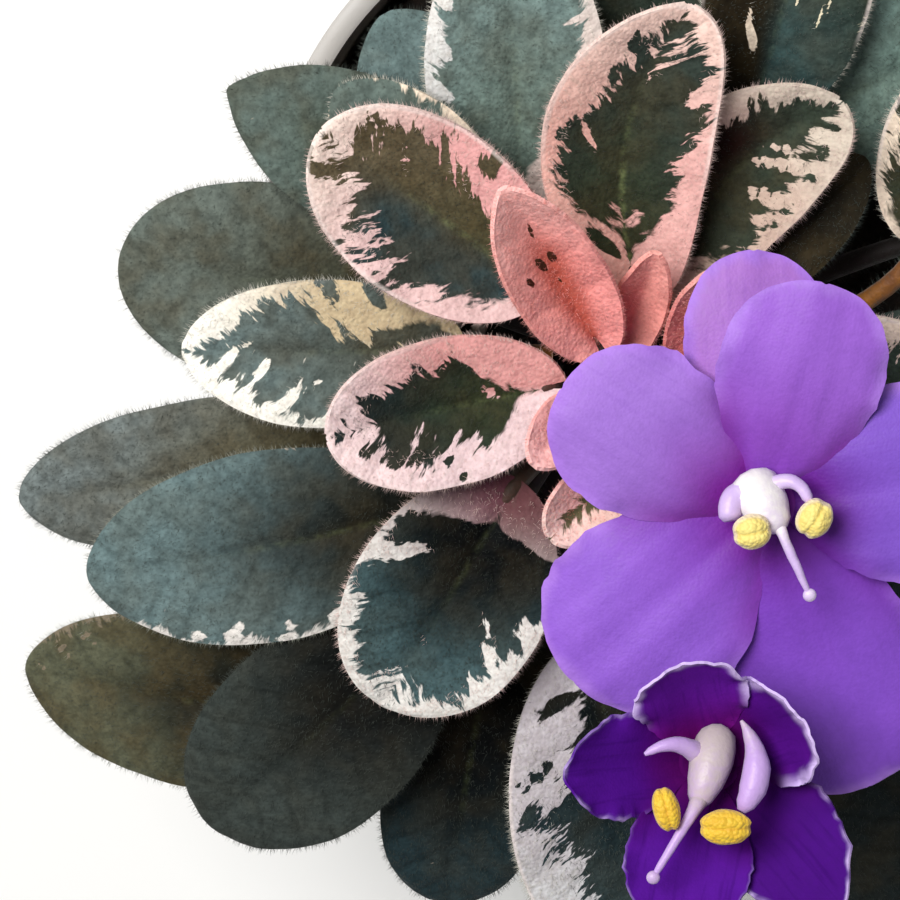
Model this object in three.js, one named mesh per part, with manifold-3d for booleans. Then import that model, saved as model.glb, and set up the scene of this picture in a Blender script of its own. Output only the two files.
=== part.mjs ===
// A potted African violet: a small variegated rosette with two violet blooms, in a plain grey pot.
// Millimetres, +Z up, with the origin at the centre of the pot's flat base.
import * as THREE from 'three';
import { mergeVertices } from 'three/addons/utils/BufferGeometryUtils.js';
import Module from 'manifold-3d';

const wasm = await Module();
wasm.setup();

// Pot and soil
const POT_HEIGHT = 64;
const RIM_RADIUS = 35;
const RIM_LIP = 2.2;
const RIM_ROUNDING = 0.5;
const COLLAR_HEIGHT = 11;
const COLLAR_STEP = 1.2;
const COLLAR_FLARE = 0.9;
const BASE_RADIUS = 25;
const BASE_ROUNDING = 0.8;
const WALL = 1.6;
const FLOOR = 2;
const FLOOR_ROUNDING = 1;
const POT_SIDES = 40;
const DRAIN_SIDES = 12;
const DRAIN_HOLES = 6;
const DRAIN_RADIUS = 3;
const DRAIN_CIRCLE = 17;
const SOIL_DEPTH_BELOW_RIM = 7;
const SOIL_RELIEF = 0.7;
const SOIL_SIDES = 28;
const SOIL_RINGS = [0.85, 0.68, 0.5, 0.32, 0.14];
const SEAT_GAP = 0.3;
const SOIL_GAP = 0.45;

// What the pot's dimensions come to
const COLLAR_FOOT = POT_HEIGHT - COLLAR_HEIGHT;
const BODY_TOP_RADIUS = RIM_RADIUS - COLLAR_STEP - COLLAR_FLARE;
const BORE_RADIUS_LOW = BASE_RADIUS - WALL;
const BORE_RADIUS_HIGH = BODY_TOP_RADIUS - WALL;
const BORE_FOOT = FLOOR + FLOOR_ROUNDING;

// Crown: the short thick stem that carries every leaf stalk, off centre in the pot
const CROWN_X = -1;
const CROWN_Y = -11.5;
const CROWN_FOOT_Z = 44;
const CROWN_PROFILE = [[3.2, CROWN_FOOT_Z], [4.2, 54], [5.6, 60], [5.6, 70], [4.6, 76], [2.6, 79.5]];
const CROWN_TOP_Z = 81;
const CROWN_HOLE = [[3.8, CROWN_FOOT_Z - SEAT_GAP], [5.9, 60]];
const CROWN_SIDES = 20;

// Leaves
const BLADE_THICKNESS = 0.9;
const BLADE_ROWS = 7;
const BROAD_COLUMNS = 6;
const NARROW_COLUMNS = 4;
const BROAD_WIDTH = 18;
const BLADE_END_WIDTH = 0.7;
const STALK_SIDES = 5;
const STALK_STEPS = 5;
const STALK_ROOT_RADIUS = 1.4;
const STALK_TIP_RADIUS = 0.9;
const STALK_SINK = 0.5;
const STALK_CURL = 0.3;
const STALK_REACH_INTO_BLADE = 0.16;
const SMALL_LEAF_SHARE = 0.45;
const FULL_LEAF_WIDTH = 30;
const LEAF_SHOULDER = 0.5;
const LEAF_LOBE = 0.1;
const RIPPLE_WAVES = 3;
const RIPPLE_OFFSET = 1.7;
const NORMAL_STEP = 0.02;

// What the leaves of a kind share. arch is how far the midrib rises in its middle, cup lifts the edges by a
// share of the half width, fold creases the blade along its midrib, point is 0.5 for a round tip and more
// for a sharp one, and ripple is the wave of the margin. bow, 0 unless a leaf says more, is how far the
// midrib swings to its left.
const KINDS = {
  outer: { arch: 1.6, cup: -0.08, fold: 0.1, point: 0.6, ripple: 0.25 },
  middle: { arch: 1.2, cup: 0.08, fold: 0.08, point: 0.58, ripple: 0.3 },
  inner: { arch: -1.2, cup: 0.26, fold: 0.06, point: 0.5, ripple: 0.3 },
  young: { arch: -1, cup: 0.55, fold: 0.1, point: 0.58, ripple: 0.15 },
};

// base and tip are the ends of each blade's midrib, and from is where its stalk leaves the crown: the
// direction in degrees, and the height.
const LEAVES = {
  outer: [
    // The lowest ring, which droops over the rim
    { base: [-22.6, -4, 69.6], tip: [-49.2, -3.3, 65.8], width: 19.4, from: [168, 61], point: 0.5 },
    { base: [-28.7, -21, 67.6], tip: [-60.2, -27.7, 62], width: 15.2, from: [195, 60.5] },
    { base: [-29.2, -48.2, 69.8], tip: [-60.2, -45.8, 60.8], width: 18, from: [222, 62.6] },
    { base: [-20.6, -38.6, 74.4], tip: [-41, -60, 68.4], width: 20.4, from: [240, 66], point: 0.5 },
    { base: [-13.6, -45, 70], tip: [-17.4, -70.6, 62.3], width: 16.4, from: [248, 61.8], point: 0.5 },
    { base: [12, -43, 70.8], tip: [27, -68, 65], width: 17.5, from: [296, 63] },
    { base: [23, -30, 72.3], tip: [46, -47, 67.6], width: 17.5, from: [322, 63.8] },
    { base: [26, -17, 68.4], tip: [51, -23, 64], width: 17, from: [345, 60.5] },
    { base: [29, 0, 68.2], tip: [53, 6, 65], width: 17, from: [14, 60.5] },
    { base: [18, 13.6, 67.8], tip: [36, 32, 66.3], width: 16.6, from: [42, 60.5] },
    { base: [3, 18, 68], tip: [6, 43, 66.5], width: 17, from: [78, 60.5] },
    { base: [-12, 2.5, 67.5], tip: [-23, 22, 67], width: 16, from: [125, 60.5] },
    { base: [-5.5, -36, 66.4], tip: [-5, -62, 60.3], width: 15.5, from: [272, 60.3] },
    // The second ring
    { base: [-19, 7, 73.5], tip: [-38, 15.4, 71.5], width: 14.4, from: [147, 64.5], point: 0.78 },
    { base: [-21.2, -25.7, 75.5], tip: [-52.5, -33.1, 71.4], width: 19.2, from: [207, 65.5] },
    { base: [13, 11, 72.4], tip: [34, 22, 72.4], width: 15.2, from: [55, 64.5] },
    { base: [22, -12, 70.6], tip: [43.5, -14.5, 69], width: 14.2, from: [357, 63] },
  ],
  middle: [
    { base: [-14, 4.3, 77.5], tip: [-27.4, 16.2, 77], width: 11.8, from: [128, 68.5] },
    { base: [-10, 6, 74], tip: [-11.5, 33, 75.5], width: 17, from: [104, 65.5] },
    { base: [-17.8, -8.7, 77.5], tip: [-42.5, -9.3, 75], width: 14.4, from: [180, 68] },
    { base: [7, -3.3, 76.6], tip: [22.5, 9.6, 77.4], width: 10.4, from: [40, 70] },
    { base: [12.2, 15.4, 76.5], tip: [17.5, 38.5, 78], width: 15.4, from: [74, 67] },
    { base: [28.7, 2.4, 75.6], tip: [32.2, 20.8, 77.4], width: 13.4, from: [2, 68] },
    { base: [-2.1, -41, 75], tip: [2, -73, 72.5], width: 21.4, from: [270, 65.5], point: 0.5 },
    { base: [15, -27, 77], tip: [35, -42, 77.5], width: 17, from: [325, 67.5] },
  ],
  // Cupped, and edged with pink
  inner: [
    { base: [-11.5, -23, 80], tip: [-23.4, -43.8, 79], width: 19, from: [235, 72], arch: 1, cup: 0.08 },
    { base: [-7.9, -11.4, 82.5], tip: [-28.3, -15.6, 85], width: 14.3, from: [185, 74.5] },
    { base: [-9.9, -1.1, 82], tip: [-28.8, 13.1, 83], width: 16.8, from: [140, 73] },
    { base: [0.2, 0.1, 82.5], tip: [4.9, 25.3, 87], width: 15.6, from: [95, 73], bow: 3 },
    { base: [4.2, -0.4, 79.8], tip: [19.3, 16, 83.8], width: 14, from: [57, 72.5], bow: 2.2 },
    { base: [10, -12, 81], tip: [31, -10, 84], width: 14, from: [5, 73] },
  ],
  // Pink and folded, at the heart of the rosette
  young: [
    { base: [-3.4, -5.6, 86.5], tip: [-12.1, 10.2, 97], width: 8.8, from: [128, 78] },
    { base: [-0.2, -7.3, 83.2], tip: [2, 3, 90], width: 5, from: [86, 77] },
    { base: [5, -7.6, 85], tip: [7.4, 1.7, 91.5], width: 5, from: [30, 78] },
    { base: [-1.5, -19.8, 84.5], tip: [-7.4, -25.1, 86], width: 6.6, from: [262, 77] },
    { base: [-4.4, -11.6, 87], tip: [-9, -17, 90], width: 5.4, from: [205, 78], cup: 0.32 },
  ],
};

// Blooms. A petal's turn is its direction in the bloom's own plane and rise its slope, in degrees. The
// other places are in the bloom's own frame, with its face along +Z.
const PETAL_THICKNESS = 0.7;
const PETAL_ROWS = 5;
const PETAL_COLUMNS = 4;
const PETAL_START = 1.4;
const PETAL_FOOT = -0.4;
const PETAL_SHOULDER = 0.72;
const PETAL_RIPPLE = 0.35;
const THROAT_DEPTH = 3.4;
const THROAT = [[1.3, -THROAT_DEPTH], [1.6, -2], [3, -0.2], [2.6, 0.25], [1.9, -0.3]];
const THROAT_FLOOR = -0.5;
const THROAT_SIDES = 10;
const FILAMENT_RADII = [0.6, 0.5];
const STIGMA_RADIUS = 0.65;
const BLOOMS = [
  {
    name: 'open_bloom',
    centre: [11.6, -18.4, 99],
    lean: -4,
    sway: 0,
    petals: [
      { turn: 149, length: 21.5, width: 15.5, rise: 5, arch: 1.2, cup: -0.12, point: 0.46 },
      { turn: 224, length: 23.8, width: 19, rise: -3, arch: 1.4, cup: -0.1, point: 0.46 },
      { turn: 291, length: 29.5, width: 19, rise: -8, arch: 1.2, cup: -0.1, point: 0.46 },
      { turn: 9, length: 21, width: 18.5, rise: 1, arch: 1.4, cup: -0.1, point: 0.46 },
      { turn: 77, length: 21.4, width: 15, rise: 10, arch: 1.4, cup: -0.14, point: 0.46 },
      { turn: 93, length: 23, width: 13.4, rise: -4, arch: 1.2, cup: -0.1, point: 0.46 },
    ],
    column: { route: [[-1.2, 1.8, 1.4], [-0.3, 0.8, 2.4], [1.1, -1.2, 3.3]], radii: [1.5, 0.8] },
    style: { route: [[0.9, -0.9, 3.2], [1.8, -3, 4.2], [3.8, -7.4, 4.2]], radii: [0.6, 0.32] },
    filaments: [
      [[-0.6, 1.6, 2], [2.2, 3, 2.8], [3.5, 1.5, 3.1]],
      [[-1.2, 1.4, 2], [-2.7, 1.2, 2.8], [-2.9, 0.4, 3.4]],
    ],
    anthers: [
      { at: [-1.5, -1.5, 4.7], size: [1.8, 1.6, 1.4], turn: 10 },
      { at: [4.1, -0.4, 4.2], size: [1.9, 1.6, 1.4], turn: 60 },
    ],
    sepalRise: 0.12,
  },
  {
    name: 'opening_bloom',
    centre: [6.8, -41.4, 103.2],
    lean: -8,
    sway: -2,
    petals: [
      { turn: 106, length: 13, width: 10.5, rise: 38, arch: -1.2, cup: 0.2, point: 0.5 },
      { turn: 32, length: 12, width: 11, rise: 40, arch: -1.2, cup: 0.2, point: 0.5 },
      { turn: 314, length: 18.2, width: 11.4, rise: 22, arch: -1, cup: 0.16, point: 0.8 },
      { turn: 257, length: 16, width: 11.6, rise: 22, arch: -1, cup: 0.18, point: 0.6 },
      { turn: 180, length: 14.5, width: 9.6, rise: 28, arch: -1, cup: 0.2, point: 0.6 },
    ],
    column: { route: [[0.2, 2.2, 1.6], [-0.2, 0.6, 3.2], [-1.2, -2.2, 4.2]], radii: [1.7, 1.3] },
    style: { route: [[-1, -1.8, 4.2], [-2.3, -4.4, 6], [-5.2, -9.2, 6.8]], radii: [0.75, 0.4] },
    filaments: [
      [[-0.8, 1.2, 2.6], [-3.2, 2.6, 4.4], [-6, 1.6, 5]],
      [[1, 2, 2.4], [3.8, 1.4, 4.2], [3.7, -2.6, 5]],
    ],
    anthers: [
      { at: [-4.1, -3, 6.9], size: [2.1, 1.2, 1.2], turn: 105 },
      { at: [1.2, -4.6, 6.6], size: [2.4, 1.6, 1.2], turn: 0 },
    ],
    sepalRise: 0.62,
  },
];

// Flower stalk: one stem that forks into two, each with five sepals under its bloom
const FLOWER_STEM_FROM = [312, 74];
const FLOWER_STEM_FORK = [9.5, -26.5, 88];
const FLOWER_STEM_RADIUS = 1.1;
const FLOWER_STEM_LEAVE = 4;
const FLOWER_STEM_BEND = [-0.5, 0.5, -5];
const BRANCH_RADIUS = 0.85;
const BRANCH_RISE = 4;
const BRANCH_UNDER_BLOOM = 7;
const CUP_RADII = [1.5, 0.8];
const CUP_DEPTH = 1.6;
const SEPALS = 5;
const SEPAL_LENGTH = 5;
const SEPAL_START = 0.8;
const SEPAL_DROP = 0.9;
const BRANCH_INTO_CUP = 0.2;
const SEPAL = {
  width: 2.4,
  arch: -0.3,
  bow: 0,
  cup: 0.1,
  fold: 0,
  point: 0.9,
  shoulder: 0.4,
  lobe: 0,
  ripple: 0,
};

const COLOURS = {
  pot: 0xb9b4b1,
  soil: 0x3d342e,
  crown: 0x6a5a3c,
  outer: 0x44514c,
  middle: 0x6f7a72,
  inner: 0x94857f,
  young: 0xd98d86,
  openPetal: 0x8f5fd0,
  openingPetal: 0x4b1585,
  anther: 0xf2cf3a,
  column: 0xe9e2ea,
  flowerStem: 0x7a6a48,
};

// A closed mesh as a solid, for joining and cutting.
function toSolid(geometry) {
  const bare = geometry.clone();
  bare.deleteAttribute('normal');
  bare.deleteAttribute('uv');
  const merged = mergeVertices(bare, 1e-4);
  return new wasm.Manifold(new wasm.Mesh({
    numProp: 3,
    vertProperties: merged.attributes.position.array,
    triVerts: new Uint32Array(merged.index.array),
  }));
}

// A solid back as a geometry.
function toGeometry(solid) {
  const mesh = solid.getMesh();
  const geometry = new THREE.BufferGeometry();
  geometry.setAttribute('position', new THREE.BufferAttribute(mesh.vertProperties, 3));
  geometry.setIndex(new THREE.BufferAttribute(mesh.triVerts, 1));
  geometry.computeVertexNormals();
  return geometry;
}

function joined(geometries) {
  return geometries.map(toSolid).reduce((whole, next) => whole.add(next));
}

function meshOf(name, geometry, colour, roughness = 0.8) {
  const material = new THREE.MeshStandardMaterial({ color: colour, roughness, metalness: 0 });
  const mesh = new THREE.Mesh(geometry, material);
  mesh.name = name;
  return mesh;
}

// A closed skin through a row of rings, each with the same number of points. Where flips(j) is true the
// quads at side j are split along their other diagonal.
function loft(rings, flips = () => false) {
  const sides = rings[0].length;
  const points = rings.flat();
  const faces = [];
  for (let i = 0; i + 1 < rings.length; i += 1) {
    for (let j = 0; j < sides; j += 1) {
      const a = i * sides + j;
      const b = i * sides + ((j + 1) % sides);
      const c = a + sides;
      const d = b + sides;
      if (flips(j)) faces.push(a, b, d, a, d, c);
      else faces.push(a, b, c, b, d, c);
    }
  }
  const last = (rings.length - 1) * sides;
  for (let j = 1; j + 1 < sides; j += 1) {
    faces.push(0, j + 1, j);
    faces.push(last, last + j, last + j + 1);
  }
  const geometry = new THREE.BufferGeometry();
  geometry.setAttribute('position', new THREE.Float32BufferAttribute(points.flatMap((p) => p.toArray()), 3));
  geometry.setIndex(faces);
  return geometry;
}

// A round stalk along a curve, thinning from one radius to the other.
function stalk(curve, rootRadius, tipRadius, sides = STALK_SIDES, steps = STALK_STEPS) {
  const frames = curve.computeFrenetFrames(steps, false);
  const rings = [];
  for (let i = 0; i <= steps; i += 1) {
    const share = i / steps;
    const centre = curve.getPointAt(share);
    const radius = rootRadius + (tipRadius - rootRadius) * Math.sqrt(share);
    const ring = [];
    for (let j = 0; j < sides; j += 1) {
      const angle = (2 * Math.PI * j) / sides;
      ring.push(centre.clone()
        .addScaledVector(frames.normals[i], radius * Math.cos(angle))
        .addScaledVector(frames.binormals[i], radius * Math.sin(angle)));
    }
    rings.push(ring);
  }
  return loft(rings);
}

// Half the width of a blade at t along it, with its rounded base and its tip.
function halfWidth(blade, t) {
  const widest = blade.shoulder / (blade.shoulder + blade.point);
  const peak = widest ** blade.shoulder * (1 - widest) ** blade.point;
  const swell = (t ** blade.shoulder * (1 - t) ** blade.point) / peak;
  return Math.max((blade.width / 2) * swell, BLADE_END_WIDTH / 2);
}

// The frame of a blade: its chord, and the directions to its left and upwards.
function bladeFrame(blade) {
  const base = new THREE.Vector3(...blade.base);
  const chord = new THREE.Vector3(...blade.tip).sub(base);
  const along = chord.clone().normalize();
  const side = new THREE.Vector3(0, 0, 1).cross(along).normalize();
  return { base, chord, along, side, up: along.clone().cross(side) };
}

// A point on the middle surface of a blade, t from base to tip and u from -1 to 1 across it.
function bladePoint(blade, frame, t, u) {
  const lobe = blade.lobe * u * u * (1 - t) * (1 - t);
  const s = t - lobe;
  const half = halfWidth(blade, t);
  const lift = half * (blade.cup * u * u + blade.fold * Math.abs(u));
  const phase = u > 0 ? 0 : RIPPLE_OFFSET;
  const swing = Math.sin(2 * Math.PI * RIPPLE_WAVES * t + phase + blade.width);
  const ripple = blade.ripple * u ** 4 * swing * 4 * t * (1 - t);
  return frame.base.clone()
    .addScaledVector(frame.chord, s)
    .addScaledVector(frame.up, blade.arch * 4 * s * (1 - s) + lift + ripple)
    .addScaledVector(frame.side, u * half + blade.bow * 4 * s * (1 - s));
}

// The blade's upward normal there, from its neighbours.
function bladeNormal(blade, frame, t, u) {
  const step = NORMAL_STEP;
  const early = Math.max(step, Math.min(1 - 3 * step, t - step));
  const left = Math.max(-1, u - step);
  const right = Math.min(1, u + step);
  const inside = Math.max(step, Math.min(1 - step, t));
  const along = bladePoint(blade, frame, early + 2 * step, u).sub(bladePoint(blade, frame, early, u));
  const across = bladePoint(blade, frame, inside, right).sub(bladePoint(blade, frame, inside, left));
  return along.cross(across).normalize();
}

// A blade as a closed solid: each section is its top from side to side, then its underside back.
function bladeGeometry(blade, frame, rows, columns, thickness) {
  const rings = [];
  for (let i = 0; i <= rows; i += 1) {
    const t = (1 - Math.cos((Math.PI * i) / rows)) / 2;
    const top = [];
    const under = [];
    for (let j = 0; j <= columns; j += 1) {
      const u = (2 * j) / columns - 1;
      const middle = bladePoint(blade, frame, t, u);
      const normal = bladeNormal(blade, frame, t, u);
      top.push(middle.clone().addScaledVector(normal, thickness / 2));
      under.unshift(middle.clone().addScaledVector(normal, -thickness / 2));
    }
    rings.push([...top, ...under].reverse());
  }
  return loft(rings, (j) => j < columns);
}

function crownRadius(z) {
  const above = CROWN_PROFILE.findIndex(([, height]) => height > z);
  if (above < 1) return CROWN_PROFILE[CROWN_PROFILE.length - 1][0];
  const [lowRadius, low] = CROWN_PROFILE[above - 1];
  const [highRadius, high] = CROWN_PROFILE[above];
  return lowRadius + ((highRadius - lowRadius) * (z - low)) / (high - low);
}

// Where a stalk starts, just clear of the crown, and the direction outwards there.
function crownSeat([turn, z]) {
  const angle = THREE.MathUtils.degToRad(turn);
  const outward = new THREE.Vector3(Math.cos(angle), Math.sin(angle), 0);
  const reach = Math.max(crownRadius(z), crownRadius(z - STALK_ROOT_RADIUS)) + SEAT_GAP;
  return { outward, seat: new THREE.Vector3(CROWN_X, CROWN_Y, z).addScaledVector(outward, reach) };
}

function makeLeaf(kind, entry, index) {
  const blade = { shoulder: LEAF_SHOULDER, lobe: LEAF_LOBE, bow: 0, ...KINDS[kind], ...entry };
  const frame = bladeFrame(blade);
  const { outward, seat } = crownSeat(blade.from);
  const neck = bladePoint(blade, frame, 0, 0).addScaledVector(frame.up, -STALK_SINK);
  const end = bladePoint(blade, frame, STALK_REACH_INTO_BLADE, 0).addScaledVector(frame.up, -STALK_SINK);
  const reach = seat.distanceTo(neck);
  const leave = seat.clone().addScaledVector(outward, reach * STALK_CURL);
  const arrive = neck.clone().addScaledVector(frame.along, -reach * STALK_CURL);
  const curve = new THREE.CurvePath();
  curve.add(new THREE.CubicBezierCurve3(seat, leave, arrive, neck));
  curve.add(new THREE.LineCurve3(neck, end));
  const scale = Math.min(1, SMALL_LEAF_SHARE + blade.width / FULL_LEAF_WIDTH);
  const stem = stalk(curve, STALK_ROOT_RADIUS * scale, STALK_TIP_RADIUS * scale);
  const columns = blade.width < BROAD_WIDTH ? NARROW_COLUMNS : BROAD_COLUMNS;
  const solid = joined([bladeGeometry(blade, frame, BLADE_ROWS, columns, BLADE_THICKNESS), stem]);
  const name = `${kind}_leaf_${String(index + 1).padStart(2, '0')}`;
  return meshOf(name, toGeometry(solid), COLOURS[kind], 0.85);
}

// A turned solid from its profile of radius and height.
function turned(profile, sides) {
  const outline = profile.map(([radius, z]) => new THREE.Vector2(radius, z));
  return new THREE.LatheGeometry(outline, sides).rotateX(Math.PI / 2);
}

function makePot() {
  const mouth = RIM_RADIUS - RIM_LIP;
  const profile = [
    [0, 0],
    [BASE_RADIUS - BASE_ROUNDING, 0],
    [BASE_RADIUS, BASE_ROUNDING],
    [BODY_TOP_RADIUS, COLLAR_FOOT],
    [BODY_TOP_RADIUS + COLLAR_STEP, COLLAR_FOOT + BASE_ROUNDING],
    [RIM_RADIUS - RIM_ROUNDING, POT_HEIGHT - RIM_LIP],
    [RIM_RADIUS, POT_HEIGHT - 3 * RIM_ROUNDING],
    [RIM_RADIUS, POT_HEIGHT - RIM_ROUNDING],
    [RIM_RADIUS - RIM_ROUNDING, POT_HEIGHT],
    [mouth + RIM_ROUNDING, POT_HEIGHT],
    [mouth, POT_HEIGHT - RIM_ROUNDING],
    [BORE_RADIUS_HIGH, COLLAR_FOOT],
    [BORE_RADIUS_LOW, BORE_FOOT],
    [BORE_RADIUS_LOW - FLOOR_ROUNDING, FLOOR],
    [0, FLOOR],
  ];
  let solid = toSolid(turned(profile, POT_SIDES));
  for (let i = 0; i < DRAIN_HOLES; i += 1) {
    const angle = (2 * Math.PI * i) / DRAIN_HOLES;
    const drill = new THREE.CylinderGeometry(DRAIN_RADIUS, DRAIN_RADIUS, 4 * FLOOR, DRAIN_SIDES);
    drill.rotateX(Math.PI / 2).translate(DRAIN_CIRCLE * Math.cos(angle), DRAIN_CIRCLE * Math.sin(angle), 0);
    solid = solid.subtract(toSolid(drill));
  }
  return meshOf('pot', toGeometry(solid), COLOURS.pot, 0.55);
}

function soilHeight(x, y) {
  const coarse = Math.sin(x * 0.31 + 1.3) * Math.cos(y * 0.27 + 0.4);
  const fine = Math.sin(x * 0.83 + y * 0.61) * Math.cos(y * 0.92 - x * 0.37);
  return POT_HEIGHT - SOIL_DEPTH_BELOW_RIM + SOIL_RELIEF * (coarse + 0.6 * fine);
}

// A level ring of points, or one that follows the soil's surface where no height is given.
function soilRing(radius, height) {
  return Array.from({ length: SOIL_SIDES }, (_, j) => {
    const angle = (2 * Math.PI * j) / SOIL_SIDES;
    const x = radius * Math.cos(angle);
    const y = radius * Math.sin(angle);
    return new THREE.Vector3(x, y, height ?? soilHeight(x, y));
  });
}

function makeSoil() {
  const foot = BORE_RADIUS_LOW - SOIL_GAP;
  const edge = BORE_RADIUS_HIGH - SOIL_GAP;
  const rings = [
    soilRing(foot - FLOOR_ROUNDING, FLOOR + SEAT_GAP),
    soilRing(foot, BORE_FOOT + SEAT_GAP),
    soilRing(edge),
    ...SOIL_RINGS.map((share) => soilRing(edge * share)),
  ];
  const hole = turned([[0, CROWN_FOOT_Z - SEAT_GAP], ...CROWN_HOLE, [0, CROWN_HOLE[1][1]]], CROWN_SIDES);
  hole.translate(CROWN_X, CROWN_Y, 0);
  return meshOf('soil', toGeometry(toSolid(loft(rings)).subtract(toSolid(hole))), COLOURS.soil, 1);
}

function makeCrown() {
  const body = turned([[0, CROWN_FOOT_Z], ...CROWN_PROFILE, [0, CROWN_TOP_Z]], CROWN_SIDES);
  const mesh = meshOf('crown', body, COLOURS.crown, 0.9);
  mesh.position.set(CROWN_X, CROWN_Y, 0);
  return mesh;
}

// A petal as a blade, in the bloom's own frame with its face along +Z.
function petalBlade(petal) {
  const turn = THREE.MathUtils.degToRad(petal.turn);
  const rise = THREE.MathUtils.degToRad(petal.rise);
  const reach = petal.length - PETAL_START;
  const run = PETAL_START + reach * Math.cos(rise);
  return {
    ...petal,
    base: [Math.cos(turn) * PETAL_START, Math.sin(turn) * PETAL_START, PETAL_FOOT],
    tip: [Math.cos(turn) * run, Math.sin(turn) * run, reach * Math.sin(rise)],
    bow: 0,
    fold: 0,
    shoulder: PETAL_SHOULDER,
    lobe: 0,
    ripple: PETAL_RIPPLE,
  };
}

function makeCorolla(bloom, colour) {
  const petals = bloom.petals.map((petal) => {
    const blade = petalBlade(petal);
    return bladeGeometry(blade, bladeFrame(blade), PETAL_ROWS, PETAL_COLUMNS, PETAL_THICKNESS);
  });
  const throat = turned([[0, -THROAT_DEPTH], ...THROAT, [0, THROAT_FLOOR]], THROAT_SIDES);
  return meshOf(`${bloom.name}_corolla`, toGeometry(joined([...petals, throat])), colour, 0.6);
}

function routeOf(points) {
  return new THREE.CatmullRomCurve3(points.map((point) => new THREE.Vector3(...point)));
}

// The white column in the throat, its two filaments, and the style with its stigma.
function makeColumn(bloom) {
  const { column, style, filaments } = bloom;
  const tip = style.route[style.route.length - 1];
  const pieces = [
    stalk(routeOf(column.route), ...column.radii, 8, 3),
    stalk(routeOf(style.route), ...style.radii, 5, 5),
    new THREE.SphereGeometry(STIGMA_RADIUS, 6, 5).translate(...tip),
    ...filaments.map((route) => stalk(routeOf(route), ...FILAMENT_RADII, 5, 4)),
  ];
  return meshOf(`${bloom.name}_column`, toGeometry(joined(pieces)), COLOURS.column, 0.5);
}

function makeAnther(bloom, index) {
  const { at, size, turn } = bloom.anthers[index];
  const sac = new THREE.SphereGeometry(1, 9, 6).scale(...size);
  sac.rotateZ(THREE.MathUtils.degToRad(turn)).translate(...at);
  return meshOf(`${bloom.name}_anther_${index === 0 ? 'left' : 'right'}`, sac, COLOURS.anther, 0.6);
}

function bloomTurn(bloom) {
  return new THREE.Euler(THREE.MathUtils.degToRad(bloom.lean), THREE.MathUtils.degToRad(bloom.sway), 0);
}

function makeBloom(bloom, colour) {
  const group = new THREE.Group();
  group.position.set(...bloom.centre);
  group.rotation.copy(bloomTurn(bloom));
  group.add(makeCorolla(bloom, colour), makeColumn(bloom), makeAnther(bloom, 0), makeAnther(bloom, 1));
  return group;
}

// The small cup and five sepals under a bloom, and the end of the branch that carries them.
function makeCalyx(bloom) {
  const foot = -THROAT_DEPTH - SEAT_GAP;
  const cup = new THREE.CylinderGeometry(...CUP_RADII, CUP_DEPTH, 7).rotateX(Math.PI / 2);
  const pieces = [cup.translate(0, 0, foot - CUP_DEPTH / 2)];
  const out = SEPAL_START + SEPAL_LENGTH * Math.sqrt(1 - bloom.sepalRise ** 2);
  const root = foot - SEPAL_DROP;
  for (let i = 0; i < SEPALS; i += 1) {
    const turn = (2 * Math.PI * (i + 0.5)) / SEPALS;
    const way = [Math.cos(turn), Math.sin(turn)];
    const sepal = {
      ...SEPAL,
      base: [way[0] * SEPAL_START, way[1] * SEPAL_START, root],
      tip: [way[0] * out, way[1] * out, root + SEPAL_LENGTH * bloom.sepalRise],
    };
    pieces.push(bladeGeometry(sepal, bladeFrame(sepal), 3, 2, PETAL_THICKNESS));
  }
  const place = new THREE.Matrix4().makeRotationFromEuler(bloomTurn(bloom)).setPosition(...bloom.centre);
  return {
    pieces: pieces.map((piece) => piece.applyMatrix4(place)),
    end: new THREE.Vector3(0, 0, foot - CUP_DEPTH + BRANCH_INTO_CUP).applyMatrix4(place),
    below: new THREE.Vector3(0, 0, foot - BRANCH_UNDER_BLOOM).applyMatrix4(place),
  };
}

function makeFlowerStem() {
  const { outward, seat } = crownSeat(FLOWER_STEM_FROM);
  const fork = new THREE.Vector3(...FLOWER_STEM_FORK);
  const leave = seat.clone().addScaledVector(outward, FLOWER_STEM_LEAVE);
  const bend = fork.clone().add(new THREE.Vector3(...FLOWER_STEM_BEND));
  const stem = new THREE.CubicBezierCurve3(seat, leave, bend, fork);
  const pieces = [stalk(stem, FLOWER_STEM_RADIUS, FLOWER_STEM_RADIUS)];
  for (const bloom of BLOOMS) {
    const calyx = makeCalyx(bloom);
    const rising = fork.clone().setZ(fork.z + BRANCH_RISE);
    const branch = new THREE.CubicBezierCurve3(fork, rising, calyx.below, calyx.end);
    pieces.push(...calyx.pieces, stalk(branch, BRANCH_RADIUS, BRANCH_RADIUS));
  }
  return meshOf('flower_stem', toGeometry(joined(pieces)), COLOURS.flowerStem, 0.8);
}

const violet = new THREE.Group();
violet.add(makePot(), makeSoil(), makeCrown());
for (const [kind, entries] of Object.entries(LEAVES)) {
  violet.add(...entries.map((entry, index) => makeLeaf(kind, entry, index)));
}
violet.add(makeFlowerStem());
violet.add(makeBloom(BLOOMS[0], COLOURS.openPetal), makeBloom(BLOOMS[1], COLOURS.openingPetal));

export default violet;
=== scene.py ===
"""The dressed model of a potted African violet, on a plain pale studio floor.

The plant's measurements are in millimetres, and become metres when a mesh is finished. Every blade is laid
out by its share of the way from base to tip and its share of the half width on either side of the midrib.
"""

import logging
import math
from dataclasses import dataclass, field
from enum import Enum

import bpy
import numpy as np
from mathutils import Euler, Matrix, Vector, noise


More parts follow.
